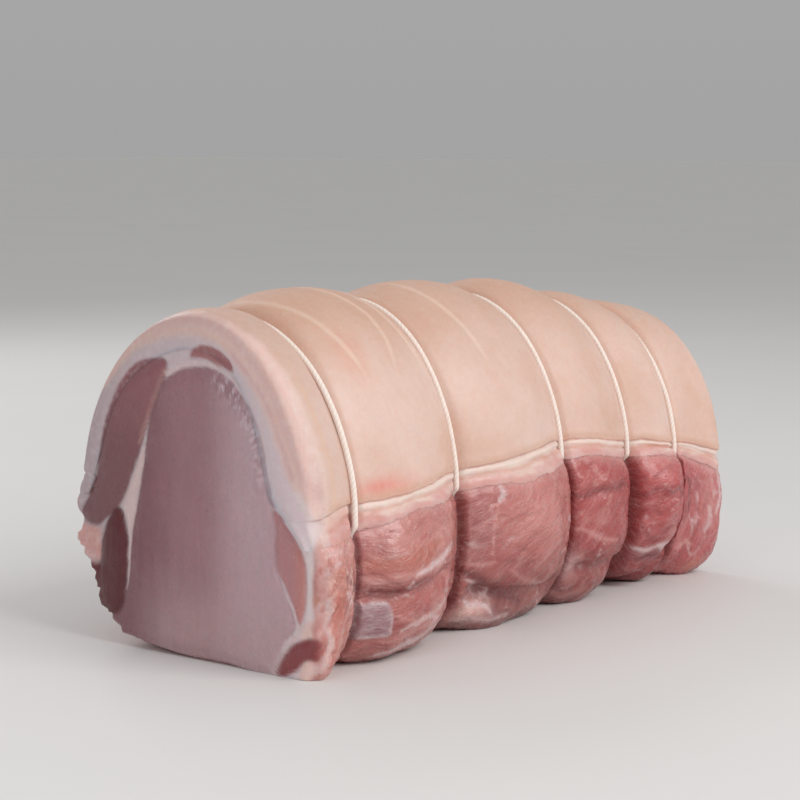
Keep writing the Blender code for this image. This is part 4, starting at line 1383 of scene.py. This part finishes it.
def twisted_tube(shell, path, radius, closed=False, frayed=False):
    """A string of twisted strands round this path."""
    if closed:
        ahead, behind = np.roll(path, -1, axis=0), np.roll(path, 1, axis=0)
    else:
        ahead = np.concatenate([path[1:], 2 * path[-1:] - path[-2:-1]])
        behind = np.concatenate([2 * path[:1] - path[1:2], path[:-1]])
    forward = ahead - behind
    forward /= np.linalg.norm(forward, axis=1)[:, None]
    upright = np.array([0.9, 0.1, 0.42])
    first = np.cross(forward, upright)
    first /= np.linalg.norm(first, axis=1)[:, None]
    # The frame is carried along the path, so that the twist stays even.
    for k in range(1, len(path)):
        carried = first[k - 1] - forward[k] * (first[k - 1] @ forward[k])
        first[k] = carried / np.linalg.norm(carried)
    second = np.cross(forward, first)
    run = run_along(path)
    whole = run[-1] + (np.linalg.norm(path[0] - path[-1]) if closed else 0)
    twists = max(round(whole / STRING_LAY), 1)
    turned = 2 * math.pi * twists * run / whole
    if closed:
        # What the frame has turned by at the end of a loop is spread over the loop.
        last = first[-1] - forward[0] * (first[-1] @ forward[0])
        slip = math.atan2(last @ second[0], last @ first[0])
        turned = turned - slip * run / whole
    angle = np.linspace(0, 2 * math.pi, STRING_SIDES, endpoint=False)
    phase = STRANDS / 2 * (angle - turned[:, None])
    lobes = 1 - 0.05 * (1 - np.abs(np.cos(phase)))
    fuzz = 1 + 0.035 * noise(path[:, None] + angle[:, None] * np.array([0.4, 0.3, 0.2]), 0.7, 120)
    size = radius * lobes * fuzz
    if frayed:
        tip = ramp(run, whole - 1.6, whole)[:, None]
        size = size * (1 + tip * (0.25 + 0.35 * np.cos(7 * angle)) - 0.35 * tip**4)
    across = first[:, None] * np.cos(angle)[:, None] + second[:, None] * np.sin(angle)[:, None]
    rings = shell.add(path[:, None] + across * size[..., None], phase[..., None])
    for ring, after in zip(rings, rings[1:]):
        shell.strip(ring, after, closed=True)
    if closed:
        shell.strip(rings[-1], rings[0], closed=True)
    else:
        shell.faces.append(rings[0][::-1].tolist())
        shell.faces.append(rings[-1].tolist())


class Nodes:
    """Short calls for building the nodes of one material."""

    def __init__(self, name):
        self.material = bpy.data.materials.new(name)
        self.material.use_nodes = True
        self.tree = self.material.node_tree
        self.shader = self.tree.nodes["Principled BSDF"]

    def feed(self, socket, source):
        """Links a source to this socket, or sets the socket's own value."""
        if isinstance(source, bpy.types.NodeSocket):
            self.tree.links.new(source, socket)
        else:
            socket.default_value = source

    def node(self, kind, links=None, **settings):
        made = self.tree.nodes.new(kind)
        for key, value in settings.items():
            setattr(made, key, value)
        for socket, source in (links or {}).items():
            self.feed(made.inputs[socket], source)
        return made

    def attribute(self, name, output="Fac"):
        return self.node("ShaderNodeAttribute", attribute_name=name).outputs[output]

    def places(self):
        """Points of the object in millimetres."""
        source = self.node("ShaderNodeTexCoord").outputs["Object"]
        return self.scaled(source, (1000, 1000, 1000))

    def scaled(self, source, scale):
        made = self.node("ShaderNodeVectorMath", {0: source, 1: scale}, operation="MULTIPLY")
        return made.outputs[0]

    def noise(self, source, size, detail=3.0, roughness=0.55, distortion=0.0):
        links = {
            "Vector": source, "Scale": 1 / size, "Detail": detail, "Roughness": roughness,
            "Distortion": distortion,
        }
        return self.node("ShaderNodeTexNoise", links).outputs["Fac"]

    def ramp(self, source, start, end, low=0.0, high=1.0):
        links = {"Value": source, "From Min": start, "From Max": end, "To Min": low, "To Max": high}
        made = self.node("ShaderNodeMapRange", links, interpolation_type="SMOOTHSTEP")
        return made.outputs["Result"]

    def maths(self, operation, first, second):
        return self.node("ShaderNodeMath", {0: first, 1: second}, operation=operation).outputs[0]

    def mix(self, share, first, second, blend="MIX"):
        made = self.node("ShaderNodeMix", data_type="RGBA", blend_type=blend)
        for socket, source in (("Factor", share), ("A", first), ("B", second)):
            self.feed(next(i for i in made.inputs if i.name == socket and i.enabled), source)
        return next(o for o in made.outputs if o.enabled)

    def bump(self, height, distance, strength=1.0, onto=None):
        links = {"Height": height, "Distance": distance, "Strength": strength}
        if onto:
            links["Normal"] = onto
        return self.node("ShaderNodeBump", links).outputs["Normal"]

    def finish(self, **sockets):
        for name, source in sockets.items():
            self.feed(self.shader.inputs[name.replace("_", " ")], source)
        return self.material


def fat_tint(made, places, tint):
    """The colour of fat: its tint with faint cloudy streaks."""
    streaks = made.noise(made.scaled(places, (0.3, 1, 1)), 2.4, 4, 0.6)
    cloud = made.noise(places, 1.2, 3)
    pale = made.mix(made.ramp(streaks, 0.42, 0.7, 0, 0.16), tint, (0.9, 0.85, 0.83, 1))
    return made.mix(made.ramp(cloud, 0.5, 0.72, 0, 0.14), pale, (0.92, 0.68, 0.64, 1), "MULTIPLY")


def fat_material():
    """Matt waxy rind with fine pores, and soft moist fat where the rind ends."""
    made = Nodes("rind_and_fat_look")
    places = made.places()
    tint = made.attribute("tint", "Color")
    fat = made.attribute("fatness")
    pores = made.noise(places, 0.55, 2)
    mottle = made.noise(places, 3.2, 4, 0.6)
    speckle = made.noise(places, 1.1, 3)
    warm = made.mix(made.ramp(mottle, 0.40, 0.68, 0, 0.14), tint, (0.92, 0.66, 0.54, 1), "MULTIPLY")
    skin_tint = made.mix(made.ramp(speckle, 0.5, 0.75, 0, 0.07), warm, (1, 0.93, 0.86, 1))
    base = made.mix(fat, skin_tint, fat_tint(made, places, tint))
    matt = made.ramp(mottle, 0.3, 0.7, 0.44, 0.56)
    moist = made.ramp(speckle, 0.3, 0.7, 0.30, 0.46)
    rough = made.maths("ADD", matt, made.maths("MULTIPLY", fat, made.maths("SUBTRACT", moist, matt)))
    fine = made.bump(pores, 0.00010, 0.5)
    normal = made.bump(made.noise(places, 2.0, 3), 0.00030, 0.5, fine)
    return made.finish(
        Base_Color=base, Roughness=rough, Normal=normal, Subsurface_Weight=0.35,
        Subsurface_Radius=(0.0045, 0.0022, 0.0014), Subsurface_Scale=1.0,
        Specular_IOR_Level=0.42,
    )


def meat_material():
    """Moist muscle with its fibres, fine white marbling and clean white seams."""
    made = Nodes("lean_meat_look")
    places = made.places()
    tint = made.attribute("tint", "Color")
    grain = made.attribute("grain", "Vector")
    white = made.attribute("white")
    face = made.attribute("face")
    bundle = made.noise(made.scaled(grain, (0.10, 0.45, 1)), 1.0, 3, 0.6, 0.3)
    strand = made.noise(made.scaled(grain, (0.14, 1.5, 1)), 1.0, 3, 0.6)
    vein = made.noise(made.scaled(grain, (0.06, 0.20, 1)), 1.0, 3, 0.55, 0.5)
    thin = made.maths("ABSOLUTE", made.maths("SUBTRACT", vein, 0.5), 0)
    patchy = made.ramp(made.noise(places, 14.0, 2), 0.42, 0.62)
    marbling = made.maths("MULTIPLY", made.ramp(thin, 0.002, 0.03, 0.16, 0), patchy)
    fine = made.noise(places, 0.7, 3)
    side = made.maths("SUBTRACT", 1.0, face)
    streaky = made.ramp(side, 0, 1, 0.18, 1)
    shade = made.maths("MULTIPLY", made.ramp(bundle, 0.42, 0.70, 0, 0.34), streaky)
    dark = made.mix(shade, tint, (0.82, 0.56, 0.54, 1), "MULTIPLY")
    shine = made.maths("MULTIPLY", made.ramp(strand, 0.48, 0.72, 0, 0.16), streaky)
    light = made.mix(shine, dark, (0.86, 0.54, 0.50, 1))
    marbled = made.mix(made.maths("MULTIPLY", marbling, side), light, (0.80, 0.56, 0.54, 1))
    rippled = made.maths("ADD", white, made.ramp(fine, 0.2, 0.8, -0.45, 0.45))
    seam = made.ramp(rippled, -0.15, 0.35)
    base = made.mix(seam, marbled, fat_tint(made, places, tint))
    wet = made.ramp(made.noise(places, 4.0, 3), 0.35, 0.7, 0.22, 0.46)
    height = made.maths("ADD", bundle, made.maths("MULTIPLY", strand, 0.5))
    crepe = made.noise(made.scaled(grain, (0.28, 0.95, 1)), 1.0, 3, 0.55, 0.4)
    crepe = made.maths("ABSOLUTE", made.maths("SUBTRACT", crepe, 0.5), 0)
    normal = made.bump(crepe, 0.0016, made.ramp(side, 0, 1, 0.05, 0.55))
    normal = made.bump(height, 0.00045, made.ramp(side, 0, 1, 0.10, 0.8), normal)
    normal = made.bump(fine, 0.00012, 0.45, normal)
    return made.finish(
        Base_Color=base, Roughness=wet, Normal=normal, Subsurface_Weight=0.32,
        Subsurface_Radius=(0.0040, 0.0011, 0.0008), Subsurface_Scale=1.0,
        Specular_IOR_Level=0.5, Coat_Weight=0.4, Coat_Roughness=0.18,
    )


def string_material():
    """White cotton that has taken a little grease and pink from the meat."""
    made = Nodes("cotton_string_look")
    places = made.places()
    tint = made.attribute("tint", "Color")
    fibre = made.noise(places, 0.35, 3)
    soil = made.noise(places, 6.0, 3)
    base = made.mix(made.ramp(fibre, 0.4, 0.7, 0, 0.15), tint, (0.72, 0.62, 0.52, 1), "MULTIPLY")
    base = made.mix(made.ramp(soil, 0.5, 0.75, 0, 0.25), base, (0.88, 0.74, 0.66, 1), "MULTIPLY")
    normal = made.bump(fibre, 0.00008, 0.6)
    rough = made.ramp(fibre, 0.3, 0.7, 0.72, 0.88)
    return made.finish(
        Base_Color=base, Roughness=rough, Normal=normal, Sheen_Weight=0.15,
        Subsurface_Weight=0.15, Subsurface_Radius=(0.0008, 0.0006, 0.0005), Subsurface_Scale=1.0,
    )


# Camera fitted to the photo: where it is in millimetres from the near cut face's axis foot.
CAMERA_PLACE = (-525.69, -518.37, 167.61)
CAMERA_YAW = 0.689237
CAMERA_PITCH = 0.1134464
CAMERA_LENS = 105.17

# Soft lights, in metres: name, place, width and height, watts, colour. All face one point.
LIGHTS = (
    ("key", (0, -1.05, 0.80), (0.9, 0.7), 9.6, (1, 0.985, 0.97)),
    ("fill", (-1.1, -0.3, 0.45), (0.7, 0.7), 1.1, (0.95, 0.97, 1)),
    ("back", (0.2, 1.0, 0.7), (0.8, 0.5), 3.0, (1, 1, 1)),
)
LIGHT_AIM = (0, 0, 0.05)
FLOOR_HALF = 12.0

# Strength of the plain surroundings at the horizon, and from half way up.
HORIZON_LIGHT = 0.369
UPPER_LIGHT = 0.47


def dress_fat():
    shell = cap_shell()
    piece = shell.piece("fat_and_rind")
    points, marks = shell.gathered()
    along, turn, zone = marks.T
    colours, fatness = cap_colours(points, along, turn, zone)
    set_colours(piece.data, "tint", colours)
    set_values(piece.data, "fatness", fatness)
    piece.data.materials.append(fat_material())
    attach(piece, "root")
    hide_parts("fat_cap")


def dress_meat():
    shell = meat_shell()
    piece = shell.piece("meat")
    points, marks = shell.gathered()
    along, turn, zone = marks.T
    colours, white = side_colours(points, along, turn)
    grain = fibre_frame(points, along, turn)
    near, far = zone == NEAR_FACE, zone == FAR_FACE
    edge = 1 - ramp(along, 0.2, 2.2)
    on_near = np.where(near, 1.0, np.where(zone == SIDE, edge, 0))
    far_edge = 1 - ramp(LENGTH - along, 0.2, 2.2)
    on_far = np.where(far, 1.0, np.where(zone == SIDE, far_edge * (along > 100), 0))
    on_near = on_near * ~far
    for share, paint in ((on_near, face_colours), (on_far, far_face_colours)):
        seen = share > 0
        face_tints, face_white = paint(points[seen])
        colours[seen] = mixed(colours[seen], face_tints, share[seen])
        white[seen] += (face_white - white[seen]) * share[seen]
    upright = np.stack([points[:, 2], points[:, 1], points[:, 0]], axis=1)
    grain = np.where((near | far)[:, None], upright, grain)
    set_colours(piece.data, "tint", colours)
    set_values(piece.data, "white", white)
    set_values(piece.data, "face", np.maximum(on_near, on_far))
    set_values(piece.data, "grain", grain)
    piece.data.materials.append(meat_material())
    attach(piece, "root")
    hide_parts("loin_meat")


def dress_strings():
    material = string_material()
    for number, where in enumerate(STRING_PLACES, 1):
        piece, phase = make_string(number, where)
        # Painted shade: the grooves between the strands get the darker tone, the strands' tops the
        # lighter.
        lit = ramp(np.abs(np.cos(phase)), 0.05, 0.5)[:, 0]
        colours = mixed(STRING_SHADE_TONE, STRING_TONE, lit)
        set_colours(piece.data, "tint", colours)
        piece.data.materials.append(material)
        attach(piece, "root")
        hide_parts(f"string_{number}")


def add_floor():
    mesh = bpy.data.meshes.new("floor")
    half = FLOOR_HALF
    corners = [(-half, -half, 0), (half, -half, 0), (half, half, 0), (-half, half, 0)]
    mesh.from_pydata(corners, [], [(0, 1, 2, 3)])
    floor = bpy.data.objects.new("floor", mesh)
    bpy.context.scene.collection.objects.link(floor)
    made = Nodes("pale_floor")
    cloud = made.noise(made.places(), 220, 3)
    base = made.mix(made.ramp(cloud, 0.3, 0.7, 0, 0.5), (0.80, 0.79, 0.78, 1), (0.77, 0.76, 0.755, 1))
    mesh.materials.append(made.finish(Base_Color=base, Roughness=0.6))


def add_light(name, place_at, size, power, shade):
    data = bpy.data.lights.new(name, "AREA")
    data.shape = "RECTANGLE"
    data.size, data.size_y = size
    data.energy = power
    data.color = shade
    light = bpy.data.objects.new(name, data)
    light.location = place_at
    light.rotation_euler = (Vector(LIGHT_AIM) - Vector(place_at)).to_track_quat("-Z", "Y").to_euler()
    bpy.context.scene.collection.objects.link(light)


def add_stage():
    add_floor()
    for light in LIGHTS:
        add_light(*light)
    world = bpy.data.worlds.new("soft_studio")
    world.use_nodes = True
    tree = world.node_tree
    background = tree.nodes["Background"]
    background.inputs["Color"].default_value = (1, 1, 1, 1)
    parts = tree.nodes.new("ShaderNodeSeparateXYZ")
    upward = tree.nodes.new("ShaderNodeMapRange")
    upward.inputs["From Max"].default_value = 0.5
    upward.inputs["To Min"].default_value = HORIZON_LIGHT
    upward.inputs["To Max"].default_value = UPPER_LIGHT
    tree.links.new(tree.nodes.new("ShaderNodeTexCoord").outputs["Generated"], parts.inputs[0])
    tree.links.new(parts.outputs["Z"], upward.inputs["Value"])
    tree.links.new(upward.outputs["Result"], background.inputs["Strength"])
    bpy.context.scene.world = world
    bpy.context.scene.view_settings.view_transform = "Standard"


def add_camera():
    data = bpy.data.cameras.new("photo_view")
    data.sensor_width = 36
    data.lens = CAMERA_LENS
    data.clip_end = 20
    camera = bpy.data.objects.new("photo_view", data)
    place_x, place_y, place_z = CAMERA_PLACE
    across, tilt = math.cos(CAMERA_PITCH), math.sin(CAMERA_PITCH)
    ahead = Vector((math.cos(CAMERA_YAW) * across, math.sin(CAMERA_YAW) * across, -tilt))
    right = Vector((math.sin(CAMERA_YAW), -math.cos(CAMERA_YAW), 0))
    up = right.cross(ahead)
    frame = Matrix((right, up, -ahead)).transposed().to_4x4()
    frame.translation = Vector((place_x - LENGTH / 2, place_y + SIDE_SHIFT, place_z)) * MM
    camera.matrix_world = frame
    bpy.context.scene.collection.objects.link(camera)
    bpy.context.scene.camera = camera


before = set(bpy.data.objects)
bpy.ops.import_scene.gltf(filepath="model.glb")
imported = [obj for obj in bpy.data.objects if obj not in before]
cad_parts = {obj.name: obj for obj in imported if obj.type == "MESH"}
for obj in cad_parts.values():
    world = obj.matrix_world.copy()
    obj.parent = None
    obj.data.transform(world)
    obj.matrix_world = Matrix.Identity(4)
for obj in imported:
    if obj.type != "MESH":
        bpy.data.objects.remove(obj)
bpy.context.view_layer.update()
add_camera()
dress_fat()
dress_meat()
dress_strings()
add_stage()
bpy.context.view_layer.update()
